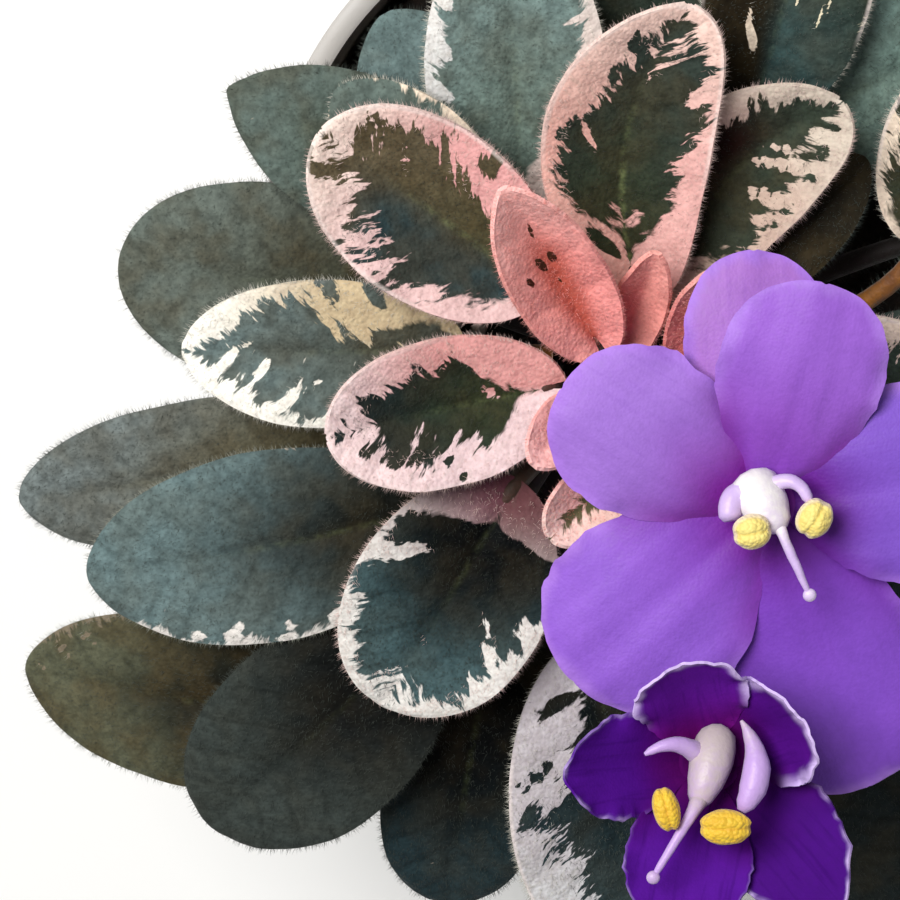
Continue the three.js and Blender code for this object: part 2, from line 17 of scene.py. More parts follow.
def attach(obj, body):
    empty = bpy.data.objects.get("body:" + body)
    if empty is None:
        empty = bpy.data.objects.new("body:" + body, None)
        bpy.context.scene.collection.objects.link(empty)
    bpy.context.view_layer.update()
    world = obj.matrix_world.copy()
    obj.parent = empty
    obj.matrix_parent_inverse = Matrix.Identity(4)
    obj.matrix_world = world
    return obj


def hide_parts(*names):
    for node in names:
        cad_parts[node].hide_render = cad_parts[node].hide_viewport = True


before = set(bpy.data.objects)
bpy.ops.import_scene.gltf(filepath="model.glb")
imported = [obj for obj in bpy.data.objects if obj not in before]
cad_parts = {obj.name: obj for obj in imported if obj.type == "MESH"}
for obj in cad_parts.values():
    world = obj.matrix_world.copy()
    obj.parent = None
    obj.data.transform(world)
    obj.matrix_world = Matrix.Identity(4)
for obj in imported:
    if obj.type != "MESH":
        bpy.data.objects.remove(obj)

log = logging.getLogger("violet")
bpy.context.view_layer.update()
MM = 0.001
Triple = tuple[float, float, float]
Array = np.ndarray
Piece = bpy.types.Object
Limb = tuple[tuple[Triple, ...], tuple[float, ...]]
# A leaf's side veins: the millimetres from one to the next along the midrib, and how far each runs ahead for
# every millimetre outwards.
VEIN_GAP = 4.6
VEIN_SLANT = 0.8
# The radius at which a turned profile meets its axis.
AXIS = 0.02


# ------------------------------------------------------------------ small maths


def srgb(red: float, green: float, blue: float) -> Triple:
    """Turns a colour in the usual 0 to 255 steps into scene-linear light.

    Args:
        red: The red step.
        green: The green step.
        blue: The blue step.

    Returns:
        The linear colour.
    """
    steps = [value / 255 for value in (red, green, blue)]
    return tuple(v / 12.92 if v <= 0.04045 else ((v + 0.055) / 1.055) ** 2.4 for v in steps)


def unit(vectors: Array) -> Array:
    """Scales vectors to length one.

    Args:
        vectors: One vector, or a row of them.

    Returns:
        The same directions.
    """
    size = np.linalg.norm(vectors, axis=-1, keepdims=True)
    return vectors / np.maximum(size, 1e-12)


def ramp(low: float, high: float, value: Array) -> Array:
    """A smooth step from 0 to 1.

    Args:
        low: Where it starts.
        high: Where it ends.
        value: The values to map.

    Returns:
        The mapped values.
    """
    share = np.clip((value - low) / (high - low), 0, 1)
    return share * share * (3 - 2 * share)


def blend(first: Triple, second: Triple, share: Array) -> Array:
    """Mixes two colours by a share at each point.

    Args:
        first: The colour at share 0, or an array of colours.
        second: The colour at share 1, or an array of colours.
        share: One share a point.

    Returns:
        One colour a point.
    """
    part = np.asarray(share)[:, None]
    return np.asarray(first) * (1 - part) + np.asarray(second) * part


def rough(points: Array, scale: float, seed: float = 0.0) -> Array:
    """Smooth noise between about -1 and 1 at each point.

    Args:
        points: Places in millimetres, one row each.
        scale: Waves to the millimetre.
        seed: Moves the pattern.

    Returns:
        One value a point.
    """
    shift = Vector((seed * 7.31, seed * 3.17, seed * 5.77))
    return np.array([noise.noise(Vector(point) * scale + shift) for point in points])


def bezier(first: Array, second: Array, third: Array, last: Array, share: Array) -> Array:
    """Points along a cubic curve.

    Args:
        first: Its start.
        second: The point that it leaves towards.
        third: The point that it arrives from.
        last: Its end.
        share: Shares of the way, one a point.

    Returns:
        One row a point.
    """
    s = np.asarray(share)[:, None]
    k = 1 - s
    return k**3 * first + 3 * k * k * s * second + 3 * k * s * s * third + s**3 * last


def between(rows: Array, spot: Array) -> Array:
    """Points on the way from row to row.

    Args:
        rows: One point a step.
        spot: Places along them, in steps.

    Returns:
        One row a place.
    """
    return np.stack([np.interp(spot, range(len(rows)), rows[:, axis]) for axis in range(3)], 1)


# -------------------------------------------------------------------- the blade


@dataclass
class Blade:
    """A leaf blade, petal or sepal as a curved sheet, of the same form as its solid in the part's source."""

    base: Triple
    tip: Triple
    width: float
    arch: float = 0.0
    cup: float = 0.0
    fold: float = 0.0
    point: float = 0.5
    shoulder: float = 0.5
    lobe: float = 0.0
    bow: float = 0.0
    ripple: float = 0.0
    ripple_waves: float = 3.0
    ripple_offset: float = 1.7
    least_half: float = 0.35

    def __post_init__(self) -> None:
        """Works out the directions along, across and up."""
        self.start = np.array(self.base, float)
        self.chord = np.array(self.tip, float) - self.start
        self.length = float(np.linalg.norm(self.chord))
        self.along = unit(self.chord)
        self.side = unit(np.cross([0, 0, 1], self.along))
        self.up = np.cross(self.along, self.side)

    def half(self, t: Array) -> Array:
        """Half the width at each t.

        Args:
            t: Shares of the way from base to tip.

        Returns:
            Half widths in millimetres.
        """
        widest = self.shoulder / (self.shoulder + self.point)
        peak = widest**self.shoulder * (1 - widest) ** self.point
        inside = np.clip(t, 1e-9, 1 - 1e-9)
        swell = inside**self.shoulder * (1 - inside) ** self.point / peak
        return np.maximum(self.width / 2 * swell, self.least_half)

    def at(self, t: Array, u: Array) -> Array:
        """Points of the middle surface.

        Args:
            t: Shares of the way from base to tip.
            u: Shares of the half width, from -1 to 1.

        Returns:
            One row a point, in millimetres.
        """
        s = t - self.lobe * u * u * (1 - t) ** 2
        half = self.half(t)
        lift = half * (self.cup * u * u + self.fold * np.abs(u))
        phase = np.where(u > 0, 0.0, self.ripple_offset)
        swing = np.sin(2 * np.pi * self.ripple_waves * t + phase + self.width)
        wave = self.ripple * u**4 * swing * 4 * t * (1 - t)
        rise = self.arch * 4 * s * (1 - s) + lift + wave
        across = u * half + self.bow * 4 * s * (1 - s)
        return self.start + s[:, None] * self.chord + rise[:, None] * self.up + across[:, None] * self.side

    def normals(self, t: Array, u: Array) -> Array:
        """The upward normal at each point.

        Args:
            t: Shares of the way from base to tip.
            u: Shares of the half width.

        Returns:
            One unit vector a point.
        """
        step = 0.02
        early = np.clip(t - step, step, 1 - 3 * step)
        inside = np.clip(t, step, 1 - step)
        along = self.at(early + 2 * step, u) - self.at(early, u)
        across = self.at(inside, np.minimum(1, u + step)) - self.at(inside, np.maximum(-1, u - step))
        return unit(np.cross(along, across))


# ---------------------------------------------------------------- the workbench


class Bench:
    """The modelling steps that the pieces share."""

    @staticmethod
    def clear_selection() -> None:
        """Leaves object mode with nothing selected."""
        if bpy.context.object and bpy.context.object.mode != "OBJECT":
            bpy.ops.object.mode_set(mode="OBJECT")
        bpy.ops.object.select_all(action="DESELECT")

    @staticmethod
    def choose(*pieces: Piece) -> None:
        """Selects pieces and makes the first one active.

        Args:
            pieces: The pieces to select.
        """
        Bench.clear_selection()
        for piece in pieces:
            piece.select_set(True)
        bpy.context.view_layer.objects.active = pieces[0]

    @staticmethod
    def added(name: str) -> Piece:
        """Names the primitive that was just added.

        Args:
            name: The piece's name.

        Returns:
            The piece.
        """
        piece = bpy.context.object
        piece.name = name
        piece.data.name = name
        return piece

    @staticmethod
    def linked(name: str, data: bpy.types.ID) -> Piece:
        """Puts an object into the scene.

        Args:
            name: Its name.
            data: Its mesh, camera or light.

        Returns:
            The object.
        """
        made = bpy.data.objects.new(name, data)
        bpy.context.scene.collection.objects.link(made)
        return made

    @staticmethod
    def mesh(name: str, points: list, edges: list, faces: list) -> Piece:
        """A piece from its vertices, edges and faces.

        Args:
            name: The piece's name.
            points: Its vertices.
            edges: Its edges.
            faces: Its faces.

        Returns:
            The piece.
        """
        data = bpy.data.meshes.new(name)
        data.from_pydata(points, edges, faces)
        return Bench.linked(name, data)

    @staticmethod
    def pattern(piece: Piece) -> tuple[Array, Array]:
        """Takes a piece away again and keeps its form, to be copied.

        Args:
            piece: The piece.

        Returns:
            One row a vertex and one row a face.
        """
        points = Bench.points(piece)
        faces = np.array([list(face.vertices) for face in piece.data.polygons])
        bpy.data.objects.remove(piece)
        return points, faces

    @staticmethod
    def copies(name: str, grown: Array, faces: Array, material: bpy.types.Material) -> Piece:
        """One smooth piece from many copies of a pattern.

        Args:
            name: The piece's name.
            grown: The vertices of each copy, in millimetres.
            faces: The pattern's faces.
            material: The piece's material.

        Returns:
            The piece.
        """
        numbered = (np.arange(len(grown)) * grown.shape[1])[:, None, None] + faces[None]
        points = (grown.reshape(-1, 3) * MM).tolist()
        piece = Bench.mesh(name, points, [], numbered.reshape(-1, faces.shape[1]).tolist())
        piece.data.materials.append(material)
        piece.data.shade_smooth()
        return piece

    @staticmethod
    def points(piece: Piece) -> Array:
        """A piece's vertices.

        Args:
            piece: A mesh piece.

        Returns:
            One row a vertex, in its own units.
        """
        co = np.empty(len(piece.data.vertices) * 3)
        piece.data.vertices.foreach_get("co", co)
        return co.reshape(-1, 3)

    @staticmethod
    def place(piece: Piece, points: Array) -> None:
        """Moves a piece's vertices."""
        piece.data.vertices.foreach_set("co", np.ascontiguousarray(points).ravel())
        piece.data.update()

    @staticmethod
    def grid(name: str, across: int, along: int) -> tuple[Piece, Array, Array]:
        """A flat grid to be shaped into a blade.

        Args:
            name: The piece's name.
            across: Cells across the blade.
            along: Cells along the blade.

        Returns:
            The piece, and each vertex's share along and across.
        """
        Bench.clear_selection()
        bpy.ops.mesh.primitive_grid_add(x_subdivisions=across, y_subdivisions=along, size=2)
        piece = Bench.added(name)
        flat = Bench.points(piece)
        t = (1 - np.cos(np.pi * (flat[:, 1] + 1) / 2)) / 2
        crowded, even = 0.35, 0.65
        return piece, t, np.sin(flat[:, 0] * np.pi / 2) * crowded + flat[:, 0] * even

    @staticmethod
    def apply(piece: Piece, kind: str, **settings: object) -> None:
        """Adds a modifier and applies it.

        Args:
            piece: The piece.
            kind: The modifier's type.
            settings: Its settings.
        """
        Bench.choose(piece)
        modifier = piece.modifiers.new(kind.title(), kind)
        for key, value in settings.items():
            setattr(modifier, key, value)
        bpy.ops.object.modifier_apply(modifier=modifier.name)

    @staticmethod
    def thicken(piece: Piece, thickness: float, shares: Array, **settings: object) -> None:
        """Gives a sheet a thickness that dwindles towards its edge.

        Args:
            piece: The sheet.
            thickness: Its full thickness in millimetres.
            shares: How much of it each vertex gets.
            settings: More settings of the modifier.
        """
        thin = piece.vertex_groups.new(name="thin")
        for index, share in enumerate(shares):
            thin.add([index], float(share), "REPLACE")
        settings |= {"offset": 0.0, "vertex_group": thin.name, "use_quality_normals": True}
        Bench.apply(piece, "SOLIDIFY", thickness=thickness * MM, **settings)
        piece.vertex_groups.clear()

    @staticmethod
    def tube(name: str, route: Array, radii: Array, sides: int = 3) -> Piece:
        """A round tube with closed ends along a route, made as a bevelled curve.

        Args:
            name: The piece's name.
            route: Its points in metres.
            radii: Its radius at each point, in metres.
            sides: The bevel's resolution.

        Returns:
            The tube as a mesh.
        """
        Bench.clear_selection()
        bpy.ops.curve.primitive_nurbs_path_add()
        piece = Bench.added(name)
        curve = piece.data
        curve.splines.clear()
        spline = curve.splines.new("POLY")
        spline.points.add(len(route) - 1)
        spline.points.foreach_set("co", np.hstack([route, np.ones((len(route), 1))]).ravel())
        spline.points.foreach_set("radius", np.asarray(radii, float))
        curve.dimensions = "3D"
        curve.bevel_depth = 1.0
        curve.bevel_resolution = sides
        curve.use_fill_caps = True
        Bench.choose(piece)
        bpy.ops.object.convert(target="MESH")
        bpy.ops.object.mode_set(mode="EDIT")
        bpy.ops.mesh.select_all(action="SELECT")
        bpy.ops.mesh.remove_doubles(threshold=1e-6)
        bpy.ops.mesh.normals_make_consistent(inside=False)
        bpy.ops.object.mode_set(mode="OBJECT")
        return bpy.context.object

    @staticmethod
    def merge(*pieces: Piece) -> Piece:
        """Joins pieces into the first one.

        Args:
            pieces: The pieces, whose vertices keep this order.

        Returns:
            The first piece.
        """
        if len(pieces) > 1:
            Bench.choose(*pieces)
            bpy.ops.object.join()
        return pieces[0]

    @staticmethod
    def smooth(piece: Piece, angle: float = 50) -> None:
        """Shades a piece smooth up to an angle."""
        Bench.choose(piece)
        bpy.ops.object.shade_smooth_by_angle(angle=math.radians(angle))

    @staticmethod
    def cover(piece: Piece, *materials: bpy.types.Material) -> None:
        """Gives a piece its materials in place of what it has.

        Args:
            piece: The piece.
            materials: Its materials in order.
        """
        piece.data.materials.clear()
        for material in materials:
            piece.data.materials.append(material)

    @staticmethod
    def attribute(piece: Piece, name: str, values: Array) -> None:
        """Keeps three numbers with each vertex for the materials to read.

        Args:
            piece: The piece.
            name: The attribute's name.
            values: One row a vertex.
        """
        layer = piece.data.attributes.get(name)
        if layer is None:
            layer = piece.data.attributes.new(name, "FLOAT_VECTOR", "POINT")
        layer.data.foreach_set("vector", np.ascontiguousarray(values, dtype=np.float32).ravel())

    @staticmethod
    def hand_over(piece: Piece, slot: str, *nodes: str) -> None:
        """Puts a finished piece on the plant in place of its solids.

        Args:
            piece: The finished piece.
            slot: The record's material slot; not used.
            nodes: The solids that it stands for.
        """
        piece.data.validate()
        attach(piece, "root")
        if nodes:
            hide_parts(*nodes)
        log.info("%s: %d faces", piece.name, len(piece.data.polygons))


# ------------------------------------------------------------------ the shaders


class Signal:
    """A shader value that takes part in Python expressions."""

    def __init__(self, shader: "Shader", socket: bpy.types.NodeSocket) -> None:
        """Wraps an output socket of a material's nodes."""
        self.shader = shader
        self.socket = socket

    def __add__(self, other: "Signal | float") -> "Signal":
        """The sum."""
        return self.shader.maths("ADD", self, other)

    def __sub__(self, other: "Signal | float") -> "Signal":
        """The difference."""
        return self.shader.maths("SUBTRACT", self, other)

    def __mul__(self, other: "Signal | float") -> "Signal":
        """The product."""
        return self.shader.maths("MULTIPLY", self, other)

    def __truediv__(self, other: "Signal | float") -> "Signal":
        """The quotient."""
        return self.shader.maths("DIVIDE", self, other)

    def __radd__(self, other: float) -> "Signal":
        """The sum, from the right."""
        return self.shader.maths("ADD", other, self)

    def __rsub__(self, other: float) -> "Signal":
        """The difference, from the right."""
        return self.shader.maths("SUBTRACT", other, self)

    def __rmul__(self, other: float) -> "Signal":
        """The product, from the right."""
        return self.shader.maths("MULTIPLY", other, self)

    def __abs__(self) -> "Signal":
        """The size without its sign."""
        return self.shader.maths("ABSOLUTE", self)


class Shader:
    """A material under construction."""

    def __init__(self, name: str) -> None:
        """Starts a material with one plain surface shader.

        Args:
            name: The material's name.
        """
        self.material = bpy.data.materials.new(name)
        self.material.use_nodes = True
        self.tree = self.material.node_tree
        self.surface = self.tree.nodes["Principled BSDF"]

    def node(self, kind: str, settings: dict[str, object], **inputs: object) -> bpy.types.Node:
        """Adds a node.

        Args:
            kind: The node's type, without its ShaderNode prefix.
            settings: Its settings.
            inputs: Values or signals by socket name, with _ for a space, or by in0, in1 and so on.

        Returns:
            The node.
        """
        node = self.tree.nodes.new("ShaderNode" + kind)
        for key, value in settings.items():
            setattr(node, key, value)
        for key, value in inputs.items():
            number = key[2:] if key.startswith("in") and key[2:].isdigit() else None
            socket = node.inputs[int(number)] if number else node.inputs[key.replace("_", " ")]
            self.feed(socket, value)
        return node

    def feed(self, socket: bpy.types.NodeSocket, value: object) -> None:
        """Gives a socket a signal or a constant.

        Args:
            socket: The input.
            value: A signal, a number, a colour or a vector.
        """
        if isinstance(value, Signal):
            self.tree.links.new(value.socket, socket)
        elif isinstance(value, tuple) and socket.type == "RGBA":
            socket.default_value = (*value, 1.0)
        else:
            socket.default_value = value

    def out(self, kind: str, settings: dict[str, object], output: int | str = 0, **inputs: object) -> Signal:
        """Adds a node and wraps one of its outputs."""
        return Signal(self, self.node(kind, settings, **inputs).outputs[output])

    def maths(self, operation: str, *values: "Signal | float") -> Signal:
        """What a Math node makes of its inputs."""
        inputs = {f"in{i}": value for i, value in enumerate(values)}
        return self.out("Math", {"operation": operation}, **inputs)

    def step(self, low: float, high: float, value: Signal) -> Signal:
        """A smooth step from 0 where a signal is low to 1 where it is high."""
        smooth = {"interpolation_type": "SMOOTHSTEP"}
        return self.out("MapRange", smooth, Value=value, From_Min=low, From_Max=high)

    def mix(self, share: "Signal | float", first: object, second: object, how: str = "MIX") -> Signal:
        """Two colours mixed, with this share of the second."""
        settings = {"data_type": "RGBA", "blend_type": how}
        return self.out("Mix", settings, 2, in0=share, in6=first, in7=second)

    def shaded(self, colour: Signal, light: Signal, low: Triple, high: Triple) -> Signal:
        """A colour times one factor where a pattern is dark and another where it is light."""
        return self.mix(1.0, colour, self.mix(light, low, high), "MULTIPLY")

    def vector(self, x: object, y: object, z: object) -> Signal:
        """Three values as a vector."""
        return self.out("CombineXYZ", {}, X=x, Y=y, Z=z)

    def parts(self, vector: Signal) -> tuple[Signal, Signal, Signal]:
        """A vector's three values."""
        return tuple(Signal(self, part) for part in self.node("SeparateXYZ", {}, Vector=vector).outputs)

    def split(self, name: str) -> tuple[Signal, Signal, Signal]:
        """The three numbers that a piece keeps under a name."""
        return self.parts(self.out("Attribute", {"attribute_name": name}, "Vector"))

    def tint(self, name: str) -> Signal:
        """The colour that a piece keeps under a name."""
        return self.out("Attribute", {"attribute_name": name}, "Color")

    def here(self) -> Signal:
        """The place on the object, in metres."""
        return self.out("TexCoord", {}, "Object")

    def grain(self, where: Signal, scale: float, detail: float = 2.0, roughness: float = 0.5) -> Signal:
        """Noise around 0.5, with this many waves to the unit and octaves of this strength."""
        return self.out("TexNoise", {}, Vector=where, Scale=scale, Detail=detail, Roughness=roughness)

    def cells(self, where: Signal, scale: float) -> Signal:
        """The distance to the centre of the nearest cell, with this many cells to the unit."""
        return self.out("TexVoronoi", {}, "Distance", Vector=where, Scale=scale)

    def bump(self, height: Signal, depth: float, strength: float = 1.0) -> None:
        """Gives the surface relief."""
        node = self.node("Bump", {}, Height=height, Distance=depth, Strength=strength)
        self.tree.links.new(node.outputs[0], self.surface.inputs["Normal"])

    def finish(self, colour: object, roughness: object, **constants: object) -> bpy.types.Material:
        """Sets the surface and returns the material.

        Args:
            colour: Its colour.
            roughness: Its roughness.
            constants: Other inputs by name, with _ for a space.

        Returns:
            The material.
        """
        self.feed(self.surface.inputs["Base Color"], colour)
        self.feed(self.surface.inputs["Roughness"], roughness)
        for key, value in constants.items():
            self.feed(self.surface.inputs[key.replace("_", " ")], value)
        if not isinstance(colour, Signal):
            self.material.diffuse_color = (*colour, 1.0)
        return self.material


@dataclass(frozen=True)
class LeafSkin:
    """The velvety upper side of every leaf: its green heart, feathered along the veins into a pale margin."""

    broad_reach: float = 10.0
    stroke_reach: float = 9.0
    speck_reach: float = 7.0
    edge_white: Triple = srgb(240, 226, 220)
    brown: Triple = srgb(74, 62, 38)
    vein_green: Triple = srgb(120, 132, 84)
    veil: Triple = srgb(150, 150, 132)
    sheen: float = 0.03

    def material(self) -> bpy.types.Material:
        """Builds the material.

        Returns:
            The material.
        """
        s = Shader("leaf_skin")
        across, along, seed = s.split("chart")
        heart, streak, edge = s.split("paint")
        vein, marbling, warmth = s.split("dress")
        # ground holds the heart's colour, with its painted shade towards the base of the lower leaves.
        ground, margin = s.tint("ground"), s.tint("margin")
        place = s.here()
        wander = s.grain(place, 380.0, 1.0) - 0.5
        front = along - VEIN_SLANT * abs(across) + wander * 1.6
        broad = s.grain(s.vector(front * 0.34, across * 0.12, seed), 1.0, 1.5, 0.5)
        strokes = s.grain(s.vector(front, across * 0.26, seed + 9.0), 1.0, 2.0, 0.55)
        specks = s.grain(s.vector(front * 2.3, across * 0.85, seed + 15.0), 1.0, 2.0, 0.6)
        dashes = s.grain(s.vector(front * 1.5, across * 0.42, seed + 21.0), 1.0, 1.5, 0.5)
        feather = (broad - 0.5) * self.broad_reach + (strokes - 0.5) * self.stroke_reach
        feather = feather + (specks - 0.5) * self.speck_reach
        green = s.step(-0.34, 0.34, heart + feather * streak)
        green = green * (1.0 - s.step(0.0, 0.05, dashes - marbling))
        patches = s.grain(place, 210.0, 2.0, 0.55)
        mottle = s.grain(place, 900.0, 3.0, 0.7)
        pores = s.cells(place, 2300.0)
        dark = s.mix(0.85, ground, s.mix(s.step(0.36, 0.66, patches) * warmth, ground, self.brown))
        midrib = vein * s.step(0.7, 0.0, abs(across)) * s.step(0.3, 0.7, mottle)
        veined = s.mix(midrib, dark, self.vein_green)
        rib = s.step(0.16, 0.0, s.maths("PINGPONG", front / VEIN_GAP, 0.5)) * s.step(0.2, 2.4, abs(across))
        veined = s.mix(rib * 0.16, veined, ground, "MULTIPLY")
        light = s.step(0.25, 0.78, mottle)
        greens = s.shaded(veined, light, (0.72, 0.72, 0.72), (1.3, 1.3, 1.3))
        pales = s.shaded(margin, light, (0.86, 0.82, 0.82), (1.12, 1.12, 1.12))
        pales = s.mix(s.step(0.52, 0.68, specks) * streak * 0.3, pales, self.veil)
        colour = s.mix(green, pales, greens)
        line = s.step(0.42, 0.14, edge) * s.step(0.5, 0.7, streak)
        colour = s.mix(line * 0.5, colour, self.edge_white)
        height = (1.0 - pores) * 0.5 + mottle * 0.5 + patches * 0.6 - rib * 0.3
        s.bump(height, 0.00022, 0.75)
        return s.finish(colour, 0.7, Sheen_Weight=self.sheen, Sheen_Roughness=0.45, Specular_IOR_Level=0.09)


@dataclass(frozen=True)
class LeafBack:
    """The duller underside, green with a wine flush and raised veins, or pink on the young leaves."""

    name: str = "leaf_back"
    green: Triple = srgb(112, 110, 84)
    flush: Triple = srgb(112, 66, 70)
    vein: Triple = srgb(150, 140, 112)

    def material(self) -> bpy.types.Material:
        """Builds the material.

        Returns:
            The material.
        """
        s = Shader(self.name)
        across, along, _ = s.split("chart")
        front = along - VEIN_SLANT * abs(across)
        place = s.here()
        mottle = s.grain(place, 700.0, 3.0, 0.6)
        flushed = s.step(0.4, 0.62, s.grain(place, 160.0, 2.0))
        colour = s.mix(flushed * 0.7, self.green, self.flush)
        rib = s.step(0.14, 0.0, s.maths("PINGPONG", front / VEIN_GAP, 0.5))
        colour = s.mix(rib * 0.4, colour, self.vein)
        colour = s.shaded(colour, mottle, (0.7, 0.7, 0.7), (1.3, 1.3, 1.3))
        s.bump(mottle * 0.6 + rib, 0.00025, 0.8)
        return s.finish(colour, 0.75, Sheen_Weight=0.15)


@dataclass(frozen=True)
class PetalSkin:
    """A petal's soft crystalline surface, with fine veins that fan out from the throat."""

    name: str
    deep: Triple
    vein: float = 0.12
    sheen: float = 0.2
    sparkle: float = 0.4
    gloss: float = 0.3
    matte: float = 0.44

    def material(self) -> bpy.types.Material:
        """Builds the material.

        Returns:
            The material.
        """
        s = Shader(self.name)
        across, along, seed = s.split("chart")
        ground = s.tint("ground")
        place = s.here()
        fan = s.grain(s.vector(across * 1.5, along * 0.12, seed), 1.0, 2.0, 0.6)
        clouds = s.grain(place, 240.0, 2.0, 0.5)
        sugar = s.cells(place, 3600.0)
        grain = s.grain(place, 1700.0, 2.0, 0.6)
        veins = s.step(0.5, 0.72, fan) * self.vein
        colour = s.mix(veins, ground, self.deep)
        colour = s.shaded(colour, clouds, (0.86, 0.84, 0.9), (1.13, 1.15, 1.1))
        colour = s.shaded(colour, grain, (0.9, 0.9, 0.9), (1.12, 1.12, 1.12))
        s.bump((1.0 - sugar) * 0.6 + grain * 0.5 + fan * 0.5, 0.00009, self.sparkle)
        shine = {"Sheen_Weight": self.sheen, "Sheen_Roughness": 0.4, "Specular_IOR_Level": self.gloss}
        return s.finish(colour, self.matte + 0.2 * grain, **shine)


@dataclass(frozen=True)
class Down:
    """The fine translucent hairs."""

    name: str
    colour: Triple

    def material(self) -> bpy.types.Material:
        """Builds the material."""
        return Shader(self.name).finish(self.colour, 0.5, Specular_IOR_Level=0.4)


@dataclass(frozen=True)
class BloomFlesh:
    """The white to lilac flesh of column, filaments and style."""

    name: str
    pale: Triple
    lilac: Triple

    def material(self) -> bpy.types.Material:
        """Builds the material.

        Returns:
            The material.
        """
        s = Shader(self.name)
        _, lilac, _ = s.split("chart")
        grain = s.grain(s.here(), 1500.0, 2.0, 0.6)
        colour = s.mix(s.step(0.25, 0.8, grain * 0.35 + lilac), self.pale, self.lilac)
        s.bump(grain, 0.00012, 0.6)
        return s.finish(colour, 0.42, Sheen_Weight=0.2)


@dataclass(frozen=True)
class Pollen:
    """The mealy yellow of the pollen sacs."""

    name: str
    bright: Triple
    deep: Triple
    rim: Triple

    def material(self) -> bpy.types.Material:
        """Builds the material.

        Returns:
            The material.
        """
        s = Shader(self.name)
        place = s.here()
        meal = s.cells(place, 2600.0)
        clouds = s.grain(place, 800.0, 2.0, 0.6)
        seam, _, height = s.split("chart")
        colour = s.mix(s.step(0.35, 0.7, clouds) * 0.5, self.bright, self.deep)
        colour = s.mix(s.step(0.3, 0.0, seam) * 0.6, colour, self.deep)
        colour = s.mix(s.step(0.62, 0.3, height) * 0.85, colour, self.rim)
        s.bump((1.0 - meal) + clouds * 0.5, 0.00016, 0.9)
        return s.finish(colour, 0.62, Sheen_Weight=0.2)


@dataclass(frozen=True)
class PotPlastic:
    """Plain light grey moulded plastic, with faint scuffs and dust."""

    grey: Triple = srgb(186, 182, 178)
    dust: Triple = srgb(168, 158, 146)

    def material(self) -> bpy.types.Material:
        """Builds the material.

        Returns:
            The material.
        """
        s = Shader("pot_plastic")
        place = s.here()
        clouds = s.grain(place, 60.0, 4.0, 0.6)
        x, y, z = s.parts(place)
        scuff = s.grain(s.vector(x * 90.0, y * 90.0, z * 900.0), 1.0, 3.0, 0.6)
        fine = s.grain(place, 2600.0, 2.0, 0.5)
        colour = s.mix(s.step(0.45, 0.72, clouds) * 0.35, self.grey, self.dust)
        s.bump(fine * 0.5 + scuff * 0.5, 0.00006, 0.5)
        return s.finish(colour, 0.36 + 0.16 * clouds + 0.12 * scuff)


@dataclass(frozen=True)
class Peat:
    """Dark crumbly potting soil."""

    dark: Triple = srgb(18, 13, 11)
    light: Triple = srgb(52, 40, 31)

    def material(self) -> bpy.types.Material:
        """Builds the material.

        Returns:
            The material.
        """
        s = Shader("peat")
        place = s.here()
        crumbs = s.cells(place, 700.0)
        fine = s.grain(place, 900.0, 4.0, 0.7)
        patches = s.grain(place, 120.0, 3.0, 0.6)
        colour = s.mix(s.step(0.4, 0.75, fine * 0.6 + patches * 0.4), self.dark, self.light)
        s.bump((1.0 - crumbs) * 0.5 + fine, 0.0006, 0.9)
        return s.finish(colour, 0.93)


@dataclass(frozen=True)
class Perlite:
    """The white grains in the soil."""

    def material(self) -> bpy.types.Material:
        """Builds the material.

        Returns:
            The material.
        """
        s = Shader("perlite")
        fine = s.grain(s.here(), 1200.0, 3.0, 0.6)
        s.bump(fine, 0.0003, 0.8)
        return s.finish(s.mix(fine, srgb(170, 160, 146), srgb(226, 220, 208)), 0.9)


@dataclass(frozen=True)
class Stem:
    """Downy stems: olive to wine brown, paler where they are young."""

    name: str
    first: Triple
    second: Triple

    def material(self) -> bpy.types.Material:
        """Builds the material.

        Returns:
            The material.
        """
        s = Shader(self.name)
        place = s.here()
        clouds = s.grain(place, 260.0, 3.0, 0.6)
        fine = s.grain(place, 1500.0, 3.0, 0.6)
        colour = s.mix(s.step(0.35, 0.68, clouds), self.first, self.second)
        colour = s.shaded(colour, fine, (0.7, 0.7, 0.7), (1.3, 1.3, 1.3))
        s.bump(fine, 0.0002, 0.8)
        return s.finish(colour, 0.66, Sheen_Weight=0.2)


# ------------------------------------------------------------------- the leaves


class Ring(Enum):
    """The rings of the rosette, from the rim to its heart."""

    OUTER = "outer"
    MIDDLE = "middle"
    INNER = "inner"
    YOUNG = "young"


FORMS: dict[Ring, dict[str, float]] = {
    Ring.OUTER: {"arch": 1.6, "cup": -0.08, "fold": 0.1, "point": 0.6, "ripple": 0.25},
    Ring.MIDDLE: {"arch": 1.2, "cup": 0.08, "fold": 0.08, "point": 0.58, "ripple": 0.3},
    Ring.INNER: {"arch": -1.2, "cup": 0.26, "fold": 0.06, "point": 0.5, "ripple": 0.3},
    Ring.YOUNG: {"arch": -1.0, "cup": 0.55, "fold": 0.1, "point": 0.58, "ripple": 0.15},
}

TEAL = (70, 88, 84)
DEEP_GREEN = (46, 56, 48)
# NEAR_BLACK is a base colour for leaves in deep shade: painted shade under the parts above.
NEAR_BLACK = (34, 40, 36)
OLIVE = (84, 82, 62)
DUN = (120, 110, 92)
CREAM = (240, 222, 200)
WHITE = (232, 228, 222)
ROSE = (232, 172, 164)
SALMON = (226, 132, 122)


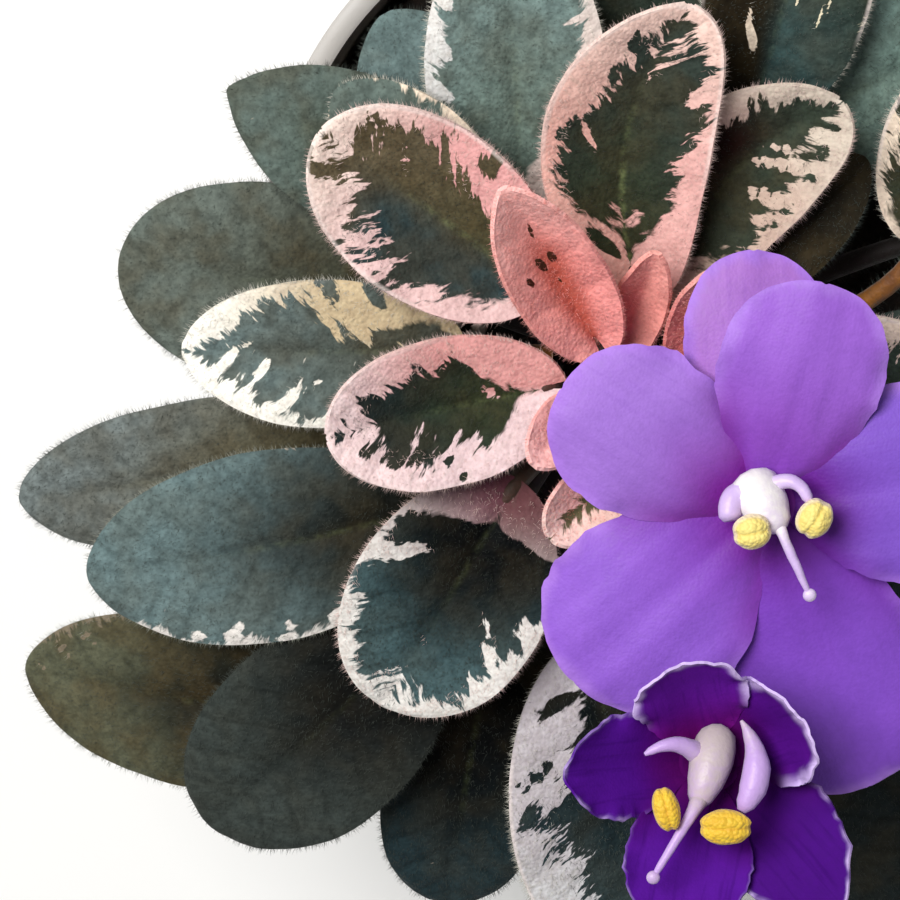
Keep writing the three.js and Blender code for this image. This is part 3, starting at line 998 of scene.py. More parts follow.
@dataclass(frozen=True)
class Dress:
    """How one leaf is coloured, in the usual 0 to 255 steps.

    near and far are the heart's colours at the base and the tip, and flank its colour on the left where that
    differs. On the lower leaves near is darkened towards black: painted shade under the leaves above. On some
    leaves flank is painted shade too, where a neighbouring leaf shades that side. left and right are how far
    the heart reaches from the midrib at even steps from base to tip, as shares of the half width, and both
    are empty on a leaf that is green all over. core is the colour of a pale leaf's middle. A fleck is a mark
    on its own: its shares along and across, its half length and its half width in millimetres, less than
    nothing for a pale one. turn is where the margin takes the tip's colour, and depth how far the near
    colour, with its painted shade, reaches.
    """

    near: Triple = DEEP_GREEN
    far: Triple = TEAL
    flank: Triple | None = None
    left: tuple[float, ...] = ()
    right: tuple[float, ...] = ()
    pale_left: Triple = CREAM
    pale_right: Triple = CREAM
    pale_tip: Triple = CREAM
    core: Triple | None = None
    flecks: tuple[tuple[float, float, float, float], ...] = ()
    turn: float = 0.68
    depth: float = 1.6
    feather: float = 1.0
    dashes: float = 0.0
    vein: float = 0.1
    slant: float = 51.0
    marbled: tuple[tuple[float, float, float, float], ...] = ()
    warmth: float = 0.5


@dataclass
class Leaf:
    """A leaf: its blade, where its stalk leaves the crown, and its dress."""

    ring: Ring
    number: int
    base: Triple
    tip: Triple
    width: float
    root: tuple[float, float]
    dress: Dress = Dress()
    shape: dict[str, float] = field(default_factory=dict)
    thickness: float = 0.86
    quilting: float = 0.3
    groove: float = 0.3
    groove_half: float = 0.8
    stalk_radius: float = 1.4
    bare_steps: int = 16
    held_steps: int = 4

    def __post_init__(self) -> None:
        """Lays out the blade."""
        self.name = f"{self.ring.value}_leaf_{self.number:02d}"
        form = {"lobe": 0.1, **FORMS[self.ring], **self.shape}
        self.blade = Blade(self.base, self.tip, self.width, **form)
        self.hair_scale = min(1.0, 0.5 + self.width / 24)

    def share_of_green(self, t: Array, u: Array) -> Array:
        """How far inside the green heart each point lies.

        Args:
            t: Shares along the blade.
            u: Shares across it.

        Returns:
            Millimetres, positive inside the heart.
        """
        if not self.dress.left:
            return np.full(len(t), 40.0)
        sides = (self.dress.right, self.dress.left)
        right, left = (np.interp(t, np.linspace(0, 1, len(side)), side) for side in sides)
        reach = np.where(u > 0, left, right)
        half = np.maximum(self.blade.half(t), self.width * 0.3)
        heart = (reach - np.abs(u)) * half
        slant = math.radians(self.dress.slant)
        out, ahead = math.sin(slant), math.cos(slant)
        for place, side, length, width in self.dress.flecks:
            along = (t - place) * self.blade.length
            across = (u - side) * half * math.copysign(1, side)
            down, over = across * out + along * ahead, along * out - across * ahead
            inside = 1.3 - np.hypot(down / length, over / abs(width))
            heart = np.maximum(heart, inside * 3) if width > 0 else np.minimum(heart, -inside * 3)
        for place, side, length, width in self.dress.marbled:
            away = np.hypot((t - place) / length, (u - side) / width)
            heart = heart * (1 - 0.92 * ramp(1.0, 0.45, away))
        return heart

    def relief(self, t: Array, u: Array) -> Array:
        """The quilting between the side veins, in millimetres.

        Args:
            t: Shares along the blade.
            u: Shares across it.

        Returns:
            The height of the surface over the smooth blade.
        """
        half = self.blade.half(t)
        across = u * half
        front = t * self.blade.length - VEIN_SLANT * np.abs(across)
        pillow = np.abs(np.sin(np.pi * front / VEIN_GAP)) ** 0.6 - 0.62
        inside = ramp(0.0, 2.0, np.abs(across)) * ramp(1.0, 0.75, np.abs(u))
        rib = -self.groove * np.exp(-((across / self.groove_half) ** 2)) * ramp(1.0, 0.7, t)
        flat = np.stack([across, t * self.blade.length, np.full(len(t), float(self.number))], 1)
        swell = 0.16 * rough(flat, 0.28) + 0.05 * rough(flat, 1.1, 4)
        edge = ramp(0.5, 0.0, half * (1 - np.abs(u)))
        return (self.quilting * pillow * inside + rib) * min(1.0, self.width / 14) + swell - 0.1 * edge

    def sheet(self, skins: "Skins") -> Piece:
        """The blade with its relief, its thickness and a back of its own.

        Args:
            skins: The plant's materials.

        Returns:
            The blade's mesh.
        """
        large = self.width > 8
        piece, t, u = Bench.grid(self.name, 30 if large else 18, 46 if large else 30)
        points = self.blade.at(t, u) + self.blade.normals(t, u) * self.relief(t, u)[:, None]
        Bench.place(piece, points * MM)
        self.keep(piece, t, u)
        # The grid's own faces look down, so they are the back. Those that the thickness adds are the front.
        Bench.cover(piece, skins.backs[self.ring], skins.leaf)
        body = 0.5 + 0.5 * ramp(0.0, 1.6, self.blade.half(t) * (1 - np.abs(u)))
        Bench.thicken(piece, self.thickness, body, material_offset=1, material_offset_rim=1)
        return piece

    def keep(self, piece: Piece, t: Array, u: Array) -> None:
        """Writes what the leaf materials read with each vertex.

        Args:
            piece: The blade.
            t: Shares along it.
            u: Shares across it.
        """
        dress = self.dress
        shades = (dress.near, dress.far, dress.pale_right, dress.pale_left, dress.pale_tip)
        near, far, right, left, tip = (srgb(*shade) for shade in shades)
        half = self.blade.half(t)
        edge = np.minimum(half * (1 - np.abs(u)), (1 - t) * self.blade.length)
        seed = np.full(len(t), 3.7 * self.number + 11 * len(self.ring.value))
        ones = np.ones(len(t))
        pale = blend(right, left, ramp(-0.25, 0.25, u))
        pale = blend(pale, tip, ramp(dress.turn - 0.27, dress.turn + 0.27, t))
        if dress.core:
            pale = blend(pale, srgb(*dress.core), ramp(0.75, 0.1, np.abs(u)) * ramp(0.85, 0.45, t))
        # The near colour, near black on the lower leaves, is painted shade towards the base; depth sets how
        # far up it reaches.
        green = blend(near, far, ramp(0.05, 0.9, t + 0.25 * np.abs(u)) ** dress.depth)
        # On some leaves the flank colour is painted shade, where a neighbouring leaf shades the left side.
        if dress.flank:
            green = blend(green, srgb(*dress.flank), ramp(-0.15, 0.3, u) * ramp(0.9, 0.55, t))
        streak = (0.35 + 0.65 * ramp(0.1, 0.5, t)) * (dress.feather if dress.left else 0)
        vein = dress.vein * ramp(0.75, 0.25, t)
        marbling = (0.8 - dress.dashes) * ones
        Bench.attribute(piece, "chart", np.stack([u * half, t * self.blade.length, seed], 1))
        Bench.attribute(piece, "paint", np.stack([self.share_of_green(t, u), streak, edge], 1))
        Bench.attribute(piece, "dress", np.stack([vein, marbling, dress.warmth * ones], 1))
        Bench.attribute(piece, "ground", green)
        Bench.attribute(piece, "margin", pale)

    def stalk_route(self, crown: "Crown") -> tuple[Array, Array]:
        """The stalk's centre line and radii.

        Args:
            crown: The crown that it leaves.

        Returns:
            Points and radii in millimetres.
        """
        outward, seat = crown.seat(self.root)
        blade = self.blade
        sink = 0.62 * blade.up
        steps = self.bare_steps + self.held_steps
        neck = blade.at(np.array([0.0]), np.array([0.0]))[0] - sink
        end = blade.at(np.array([0.17]), np.array([0.0]))[0] - 3.2 * sink
        reach = float(np.linalg.norm(neck - seat))
        share = np.linspace(0, 1, self.bare_steps)
        bend = bezier(seat, seat + outward * reach * 0.3, neck - blade.along * reach * 0.3, neck, share)
        run = neck + np.linspace(0, 1, self.held_steps + 1)[1:, None] * (end - neck)
        scale = min(1.0, 0.45 + self.width / 30)
        radii = scale * (self.stalk_radius - 0.45 * np.sqrt(np.linspace(0, 1, steps)))
        radii[-5:] *= np.array([0.88, 0.76, 0.62, 0.48, 0.3])
        return np.vstack([bend, run]), radii

    def build(self, crown: "Crown", skins: "Skins") -> None:
        """Makes the whole leaf.

        Args:
            crown: The crown that it grows from.
            skins: The plant's materials.
        """
        sheet = self.sheet(skins)
        route, radii = self.stalk_route(crown)
        stalk = Bench.tube(self.name + "_stalk", route * MM, radii * MM)
        Bench.cover(stalk, skins.stalks[self.ring])
        leaf = Bench.merge(sheet, stalk)
        Bench.smooth(leaf, 60)
        Bench.hand_over(leaf, f"{self.ring.value}_leaf", self.name)

    def blade_hairs(self, rng: np.random.Generator, density: float) -> tuple[Array, Array, Array]:
        """The hairs on the upper side.

        Args:
            rng: The seeded source of chance.
            density: Hairs to the square millimetre.

        Returns:
            Roots and tips in millimetres, and whether each stands on green.
        """
        blade = self.blade
        count = int(blade.length * self.width * 0.78 * density)
        t, u = rng.random(count * 2), rng.uniform(-1, 1, count * 2)
        kept = rng.random(count * 2) < blade.half(t) / (self.width / 2)
        t, u = t[kept][:count], u[kept][:count]
        normal = blade.normals(t, u)
        roots = blade.at(t, u) + normal * (self.relief(t, u) + 0.36)[:, None]
        aside = rng.normal(0, 0.45, (len(t), 1))
        ahead = 0.35 + rng.normal(0, 0.4, (len(t), 1))
        size = rng.uniform(0.4, 0.85, (len(t), 1)) * self.hair_scale
        tips = roots + unit(normal * 0.8 + (aside * blade.side + ahead * blade.along)) * size
        return roots, tips, self.share_of_green(t, u) > 0.0

    def rim_hairs(self, rng: np.random.Generator, density: float) -> tuple[Array, Array, Array]:
        """The fringe along the margin, which turns ahead towards the tip.

        Args:
            rng: The seeded source of chance.
            density: Hairs to the square millimetre of the blade.

        Returns:
            Roots and tips in millimetres, and whether each stands on green.
        """
        blade = self.blade
        count = int(blade.length * 2 * 11 * min(1.2, density / 5))
        t, u = rng.beta(1.15, 1.0, count), np.where(rng.random(count) < 0.5, -1.0, 1.0)
        roots = blade.at(t, u) + blade.normals(t, u) * rng.uniform(-0.2, 0.25, (count, 1))
        ahead = ramp(0.55, 1.0, t)[:, None]
        onward = rng.normal(0.1, 0.35, (count, 1)) + ahead
        out = u[:, None] * blade.side * (1 - 0.5 * ahead) + blade.along * onward
        out = out + blade.up * rng.normal(0.15, 0.3, (count, 1))
        tips = roots + unit(out) * rng.uniform(0.35, 0.85, (count, 1)) * self.hair_scale
        all_green = not self.dress.left and self.ring is not Ring.YOUNG
        return roots, tips, np.full(count, all_green)

    def stalk_hairs(self, rng: np.random.Generator, crown: "Crown") -> tuple[Array, Array, Array]:
        """The fuzz round the bare part of the stalk.

        Args:
            rng: The seeded source of chance.
            crown: The crown that the stalk leaves.

        Returns:
            Roots and tips in millimetres, and whether each stands on green.
        """
        route, radii = self.stalk_route(crown)
        bare = route[: self.bare_steps]
        runs = np.diff(bare, axis=0)
        count = int(np.linalg.norm(runs, axis=1).sum() * 16)
        spot = rng.uniform(0, self.bare_steps - 1, count)
        way = unit(rng.normal(0, 1, (count, 3)))
        forward = unit(between(runs, spot))
        way = unit(way - (way * forward).sum(1, keepdims=True) * forward)
        radius = np.interp(spot, range(len(radii)), radii)[:, None]
        roots = between(bare, spot) + way * radius * 0.95
        tips = roots + unit(way + 0.4 * forward) * rng.uniform(0.5, 1.0, (count, 1))
        return roots, tips, np.ones(count, bool)

    def coat(self, rng: np.random.Generator, crown: "Crown", density: float) -> list[Array]:
        """All of the leaf's hairs.

        Args:
            rng: The seeded source of chance.
            crown: The crown that its stalk leaves.
            density: Hairs to the square millimetre.

        Returns:
            Roots and tips in millimetres, and whether each stands on green.
        """
        blade = self.blade_hairs(rng, density)
        rim = self.rim_hairs(rng, density)
        stalk = self.stalk_hairs(rng, crown)
        return [np.concatenate(rows) for rows in zip(blade, rim, stalk)]


@dataclass
class Crown:
    """The short thick stem at the plant's heart, ringed by the scars of old leaves."""

    x: float = -1.0
    y: float = -11.5
    profile: tuple[tuple[float, float], ...] = (
        (3.2, 44), (4.2, 54), (5.6, 60), (5.6, 70), (4.6, 76), (2.6, 79.5),
    )
    top: float = 81.0
    top_radii: tuple[float, float] = (2.4, 0.8)
    bark_from: float = 58.5
    stalk_radius: float = 1.4
    gap: float = 0.3

    def radius(self, z: float) -> float:
        """The crown's radius at a height.

        Args:
            z: The height.

        Returns:
            The radius.
        """
        if z >= self.profile[-1][1]:
            return self.profile[-1][0]
        radii, heights = zip(*self.profile)
        return float(np.interp(z, heights, radii))

    def seat(self, root: tuple[float, float]) -> tuple[Array, Array]:
        """Where a stalk leaves the crown.

        Args:
            root: The direction in degrees and the height.

        Returns:
            The direction outwards, and the place.
        """
        turn, z = math.radians(root[0]), root[1]
        outward = np.array([math.cos(turn), math.sin(turn), 0.0])
        reach = max(self.radius(z), self.radius(z - self.stalk_radius)) + self.gap
        return outward, np.array([self.x, self.y, z]) + outward * reach

    def build(self, skins: "Skins") -> None:
        """Makes the crown from a turned cylinder.

        Args:
            skins: The plant's materials.
        """
        Bench.clear_selection()
        bpy.ops.mesh.primitive_cylinder_add(vertices=40, radius=1, depth=1, end_fill_type="TRIFAN")
        piece = Bench.added("crown_stem")
        bpy.ops.object.mode_set(mode="EDIT")
        bpy.ops.mesh.select_all(action="DESELECT")
        bpy.ops.object.mode_set(mode="OBJECT")
        for edge in piece.data.edges:
            ends = [piece.data.vertices[i].co for i in edge.vertices]
            edge.select = abs(ends[0].z - ends[1].z) > 0.5
        bpy.ops.object.mode_set(mode="EDIT")
        bpy.ops.mesh.subdivide_edgering(number_cuts=36)
        bpy.ops.object.mode_set(mode="OBJECT")
        flat = Bench.points(piece)
        share = flat[:, 2] + 0.5
        foot, neck = self.profile[0][1], self.profile[-1][1]
        z = foot + share * (self.top - foot)
        turn = np.arctan2(flat[:, 1], flat[:, 0])
        out = np.hypot(flat[:, 0], flat[:, 1])
        ring = np.stack([6 * np.cos(turn), 6 * np.sin(turn), z], 1)
        scars = 0.16 * np.sin(z * 2.1 + 0.8 * np.sin(turn * 5)) + 0.14 * rough(ring, 0.6)
        wide = np.array([self.radius(h) for h in z]) + np.where(z > self.bark_from, scars - 0.2, -0.05)
        wide = np.where(z > neck, np.interp(z, (neck, self.top), self.top_radii), wide)
        points = np.stack([self.x + out * wide * np.cos(turn), self.y + out * wide * np.sin(turn), z], 1)
        Bench.place(piece, points * MM)
        piece.data.materials.append(skins.crown)
        Bench.smooth(piece)
        Bench.hand_over(piece, "crown_tissue", "crown")


@dataclass
class Rosette:
    """All the leaves, and the hairs that coat them."""

    leaves: list[Leaf]
    densities: dict[Ring, float] = field(
        default_factory=lambda: {Ring.OUTER: 5.0, Ring.MIDDLE: 6.0, Ring.INNER: 7.0, Ring.YOUNG: 9.0}
    )
    hair_radius: float = 0.022

    def build(self, crown: Crown, skins: "Skins") -> None:
        """Makes the leaves, then one coat of hairs for each ring.

        Args:
            crown: The crown that they grow from.
            skins: The plant's materials.
        """
        for leaf in self.leaves:
            leaf.build(crown, skins)
        rng = np.random.default_rng(20)
        for ring in Ring:
            coats = [leaf.coat(rng, crown, self.densities[ring]) for leaf in self.leaves if leaf.ring is ring]
            roots, tips = (np.vstack([coat[side] for coat in coats]) for side in range(2))
            green = np.concatenate([coat[2] for coat in coats])
            for zone, chosen in (("green", green), ("pale", ~green)):
                hairs = Hairs(f"{ring.value}_leaf_{zone}_hairs", self.hair_radius)
                hairs.build(roots[chosen], tips[chosen], skins.down[ring][zone], f"{ring.value}_leaf")


@dataclass
class Hairs:
    """Many fine hairs as one mesh: one slim three-sided hair is modelled and repeated."""

    name: str
    radius: float
    taper: float = 0.25

    def pattern(self) -> tuple[Array, Array]:
        """The one hair, along +Z and one unit long, from a cone with its base taken off.

        Returns:
            Its vertices and its faces.
        """
        Bench.clear_selection()
        bpy.ops.mesh.primitive_cone_add(
            vertices=3, radius1=1, depth=1, end_fill_type="NOTHING", location=(0, 0, 0.5)
        )
        piece = Bench.added("hair_pattern")
        bpy.ops.object.transform_apply(location=True)
        return Bench.pattern(piece)

    def build(self, roots: Array, tips: Array, material: bpy.types.Material, slot: str) -> None:
        """Copies the hair to every root.

        Args:
            roots: Their roots in millimetres.
            tips: Their tips.
            material: The hairs' material.
            slot: The record's slot.
        """
        points, faces = self.pattern()
        way = tips - roots
        upright = np.abs(unit(way)[:, 2:]) > 0.9
        first = unit(np.cross(way, np.where(upright, [1.0, 0, 0], [0, 0, 1.0])))
        second = unit(np.cross(way, first))
        radius = np.where(points[:, 2:] < 0.5, self.radius, self.radius * self.taper)
        grown = (
            roots[:, None]
            + first[:, None] * (points[:, 0:1] * radius)[None]
            + second[:, None] * (points[:, 1:2] * radius)[None]
            + way[:, None] * points[None, :, 2:]
        )
        Bench.hand_over(Bench.copies(self.name, grown, faces, material), slot)


# ------------------------------------------------------------------- the blooms


@dataclass(frozen=True)
class PetalTints:
    """A bloom's colours from throat to margin."""

    throat: Triple
    inner: Triple
    outer: Triple
    edge: Triple
    edge_width: float
    # crease_shade is how strongly painted shade darkens the lobes' sides near the throat.
    crease_shade: float = 0.5


@dataclass(frozen=True)
class Petal:
    """One lobe, by its direction and slope in the bloom's own plane."""

    turn: float
    length: float
    width: float
    rise: float
    arch: float
    cup: float
    point: float
    # shade multiplies the lobe's colour: painted light and shade, lighter or darker by how the light falls on
    # that lobe.
    shade: Triple = (1.0, 1.0, 1.0)
    rim: float = 1.0
    # throat scales how far the throat colour reaches: the bloom's own darker eye, and painted shade on the
    # lobes where it is stretched.
    throat: float = 1.0
    lift: float = 0.0
    seat: float = 1.4
    drop: float = 0.4

    def blade(self) -> Blade:
        """The lobe as a blade.

        Returns:
            The blade, in the bloom's frame.
        """
        turn, rise = math.radians(self.turn), math.radians(self.rise)
        reach = self.length - self.seat
        run = self.seat + reach * math.cos(rise)
        base = (self.seat * math.cos(turn), self.seat * math.sin(turn), -self.drop)
        tip = (run * math.cos(turn), run * math.sin(turn), reach * math.sin(rise))
        form = {"arch": self.arch, "cup": self.cup, "point": self.point}
        return Blade(base, tip, self.width, shoulder=0.72, ripple=0.35, **form)


@dataclass(frozen=True)
class Anther:
    """A pollen sac: where it is, its half sizes and its turn in degrees."""

    side: str
    at: Triple
    size: Triple
    turn: float


@dataclass
class Bloom:
    """A flower: its lobes, throat, column and pollen sacs, in its own frame with its face along +Z.

    Its column, style and filaments are limbs: three points each, and radii from base to end.
    """

    name: str
    centre: Triple
    lean: float
    sway: float
    petals: tuple[Petal, ...]
    column: Limb
    style: Limb
    filaments: tuple[Limb, ...]
    anthers: tuple[Anther, ...]
    sepal_rise: float
    tints: PetalTints
    frill: float
    slot: str
    throat_depth: float = 3.4
    thickness: float = 0.55

    def __post_init__(self) -> None:
        """Works out the turn into the plant's frame."""
        turn = Euler((math.radians(self.lean), math.radians(self.sway), 0.0), "XYZ")
        self.matrix = Matrix.Translation(self.centre) @ turn.to_matrix().to_4x4()

    def out(self, points: Array) -> Array:
        """Takes points from the bloom's frame to the plant's, and to metres."""
        matrix = np.array(self.matrix)
        return (points @ matrix[:3, :3].T + matrix[:3, 3]) * MM

    def lobe(self, index: int, petal: Petal, skins: "Skins") -> Piece:
        """Makes one lobe.

        Args:
            index: Its number.
            petal: Its form.
            skins: The plant's materials.

        Returns:
            Its mesh, placed.
        """
        blade = petal.blade()
        piece, t, u = Bench.grid(f"{self.name}_lobe_{index}", 34, 44)
        half = blade.half(t)
        across, along = u * half, t * blade.length
        edge = np.minimum(half * (1 - np.abs(u)), (1 - t) * blade.length * 0.9)
        flat = np.stack([across, along, np.full(len(t), index * 5.0 + self.lean)], 1)
        folds = 0.34 * rough(flat * [1.6, 0.35, 1.0], 0.16) + 0.08 * rough(flat * [2.4, 0.5, 1.0], 0.34, 3)
        rib = -0.18 * np.exp(-((across / 1.1) ** 2)) * ramp(1.0, 0.4, t)
        round_ = np.arctan2(across, along - blade.length * 0.5)
        ring = np.stack([round_ * 3.4, np.full(len(t), index * 3.1), np.full(len(t), self.lean)], 1)
        ruffle = 1.8 * rough(ring, 1.0) + 0.6 * rough(ring, 2.3, 4)
        frill = self.frill * ramp(1.8, 0.0, edge) * ruffle
        waver = self.frill * 0.3 * rough(ring, 2.1, 9) * ramp(0.6, 1.0, np.abs(u))
        points = blade.at(t, u * (1 + waver))
        points = points + blade.normals(t, u) * (folds + rib + frill)[:, None]
        points[:, 2] += petal.lift * ramp(0.05, 0.4, t)
        Bench.place(piece, self.out(points))
        tints = self.tints
        reach = np.hypot(*(points[:, :2].T))
        # The throat colour is the bloom's own darker eye; where throat stretches its reach it also paints the
        # shade that falls deeper into the throat.
        throat_fade = ramp(2.0 * petal.throat, 7.5 * petal.throat, reach + rough(flat, 0.3, 5))
        colour = blend(tints.throat, tints.inner, throat_fade)
        outward = ramp(4.5, blade.length * 0.75, reach + 1.5 * rough(flat, 0.2, 6))
        colour = blend(colour, tints.outer, outward)
        # Painted shade: each lobe's sides near the throat are darkened towards the throat colour, where the
        # lobes overlap and shade one another.
        crease_shade = ramp(0.45, 1.0, np.abs(u)) * ramp(0.62, 0.25, t)
        colour = blend(colour, tints.throat, crease_shade * tints.crease_shade)
        # Painted light and shade: each lobe's colour is scaled by how the light falls on it.
        colour = colour * np.array(petal.shade)
        fray = 0.5 * rough(flat, 0.9, 8)
        width = tints.edge_width * petal.rim
        broken = self.frill > 0.2 and petal.rim < 1
        lace = ramp(-0.5, 0.45, rough(ring, 1.5, 12)) if broken else 1.0
        rim = ramp(width * 1.5, 0.0, edge + fray * width) * ramp(0.3, 0.6, t) * min(1, petal.rim)
        colour = blend(colour, tints.edge, rim * lace)
        Bench.attribute(piece, "chart", np.stack([across, along, np.full(len(t), index * 7.0)], 1))
        Bench.attribute(piece, "ground", colour)
        Bench.thicken(piece, self.thickness, 0.45 + 0.55 * ramp(0.0, 2.5, edge))
        piece.data.materials.append(skins.petals[self.name])
        return piece

    def throat(self, skins: "Skins") -> Piece:
        """The short tube behind the lobes, turned from its profile.

        Args:
            skins: The plant's materials.

        Returns:
            Its mesh, placed.
        """
        foot = -self.throat_depth
        profile = [(AXIS, foot), (1.25, foot), (1.5, -2.6), (1.7, -1.8), (2.3, -0.9), (2.9, -0.25)]
        profile += [(2.8, 0.1), (2.4, 0.15), (1.7, -0.35), (AXIS, -0.5)]
        piece = turned(f"{self.name}_throat", profile, 40)
        points = Bench.points(piece)
        Bench.place(piece, self.out(points))
        Bench.attribute(piece, "chart", points)
        Bench.attribute(piece, "ground", np.tile(self.tints.throat, (len(points), 1)))
        piece.data.materials.append(skins.petals[self.name])
        return piece

    def build(self, skins: "Skins") -> None:
        """Makes the whole bloom.

        Args:
            skins: The plant's materials.
        """
        lobes = [self.lobe(index, petal, skins) for index, petal in enumerate(self.petals)]
        corolla = Bench.merge(*lobes, self.throat(skins))
        corolla.name = f"{self.name}_petals"
        Bench.smooth(corolla, 70)
        Bench.hand_over(corolla, self.slot, f"{self.name}_corolla")
        parts = [self.limb("column", *self.column, 0.0, 0.35), self.limb("style", *self.style, 0.1, 0.9)]
        parts += [self.limb(f"filament_{i}", *limb, 0.3, 0.9) for i, limb in enumerate(self.filaments)]
        parts.append(self.knob())
        heart = Bench.merge(*parts)
        heart.name = f"{self.name}_heart"
        Bench.cover(heart, skins.flesh[self.name])
        Bench.smooth(heart, 70)
        Bench.hand_over(heart, "bloom_column", f"{self.name}_column")
        for anther in self.anthers:
            self.sac(anther, skins)

    def limb(
        self, name: str, route: tuple[Triple, ...], radii: tuple[float, ...], first: float, last: float
    ) -> Piece:
        """A fleshy limb along three points.

        Args:
            name: Its name.
            route: Its points in the bloom's frame.
            radii: Its radii, evenly spaced from base to end.
            first: How lilac it starts.
            last: How lilac it ends.

        Returns:
            Its mesh, placed.
        """
        steps = 14
        share = np.linspace(0, 1, steps)
        a, b, c = (np.array(point, float) for point in route)
        through = 2 * b - (a + c) / 2
        s = share[:, None]
        path = (1 - s) ** 2 * a + 2 * s * (1 - s) * through + s * s * c
        sizes = np.interp(share, np.linspace(0, 1, len(radii)), radii)
        sizes[[0, 1, -1]] *= (0.5, 0.85, 0.6)
        piece = Bench.tube(f"{self.name}_{name}", path, sizes, 4)
        points = Bench.points(piece)
        away = np.linalg.norm(points[:, None] - path[None], axis=2)
        nearest = np.argmin(away, axis=1) / (steps - 1)
        lilac = first + (last - first) * nearest
        Bench.attribute(piece, "chart", np.stack([nearest, lilac, nearest * 0], 1))
        Bench.place(piece, self.out(points + 0.07 * rough(points, 1.2)[:, None]))
        return piece

    def knob(self) -> Piece:
        """The stigma at the end of the style.

        Returns:
            Its mesh, placed.
        """
        Bench.clear_selection()
        bpy.ops.mesh.primitive_uv_sphere_add(segments=18, ring_count=12, radius=0.62)
        piece = Bench.added(f"{self.name}_stigma")
        points = Bench.points(piece)
        points[:, 2] *= 0.75
        points += np.array(self.style[0][-1])
        Bench.attribute(piece, "chart", np.tile([1.0, 0.45, 0.0], (len(points), 1)))
        Bench.place(piece, self.out(points))
        return piece

    def sac(self, anther: Anther, skins: "Skins") -> None:
        """A pollen sac: two plump lobes with a seam between them.

        Args:
            anther: Its place and size.
            skins: The plant's materials.
        """
        Bench.clear_selection()
        bpy.ops.mesh.primitive_uv_sphere_add(segments=40, ring_count=28, radius=1)
        piece = Bench.added(f"{self.name}_anther_{anther.side}_sac")
        ball = Bench.points(piece)
        seam = np.exp(-((ball[:, 1] / 0.2) ** 2)) * ramp(-0.6, 0.2, ball[:, 2])
        swell = 1 - 0.16 * seam + 0.04 * rough(ball, 2.2, anther.turn)
        body = ball * swell[:, None] * np.array(anther.size)
        cos, sin = math.cos(math.radians(anther.turn)), math.sin(math.radians(anther.turn))
        spin = np.array([[cos, -sin, 0], [sin, cos, 0], [0, 0, 1]])
        Bench.attribute(piece, "chart", np.stack([1 - seam, seam, ball[:, 2]], 1))
        Bench.place(piece, self.out(body @ spin.T + np.array(anther.at)))
        piece.data.materials.append(skins.pollen[self.name])
        Bench.smooth(piece, 80)
        Bench.hand_over(piece, "anther", f"{self.name}_anther_{anther.side}")


def turned(name: str, profile: list[tuple[float, float]], steps: int) -> Piece:
    """A turned shape: a profile line, spun round the Z axis in edit mode.

    Args:
        name: The piece's name.
        profile: Radius and height from one end to the other.
        steps: Facets round.

    Returns:
        The shape, closed, in the profile's units.
    """
    line = [(i, i + 1) for i in range(len(profile) - 1)]
    piece = Bench.mesh(name, [(r, 0.0, z) for r, z in profile], line, [])
    Bench.choose(piece)
    bpy.ops.object.mode_set(mode="EDIT")
    bpy.ops.mesh.select_all(action="SELECT")
    bpy.ops.mesh.spin(steps=steps, angle=2 * math.pi, center=(0, 0, 0), axis=(0, 0, 1))
    bpy.ops.mesh.select_all(action="SELECT")
    bpy.ops.mesh.remove_doubles(threshold=1e-5)
    bpy.ops.mesh.normals_make_consistent(inside=False)
    bpy.ops.object.mode_set(mode="OBJECT")
    return piece


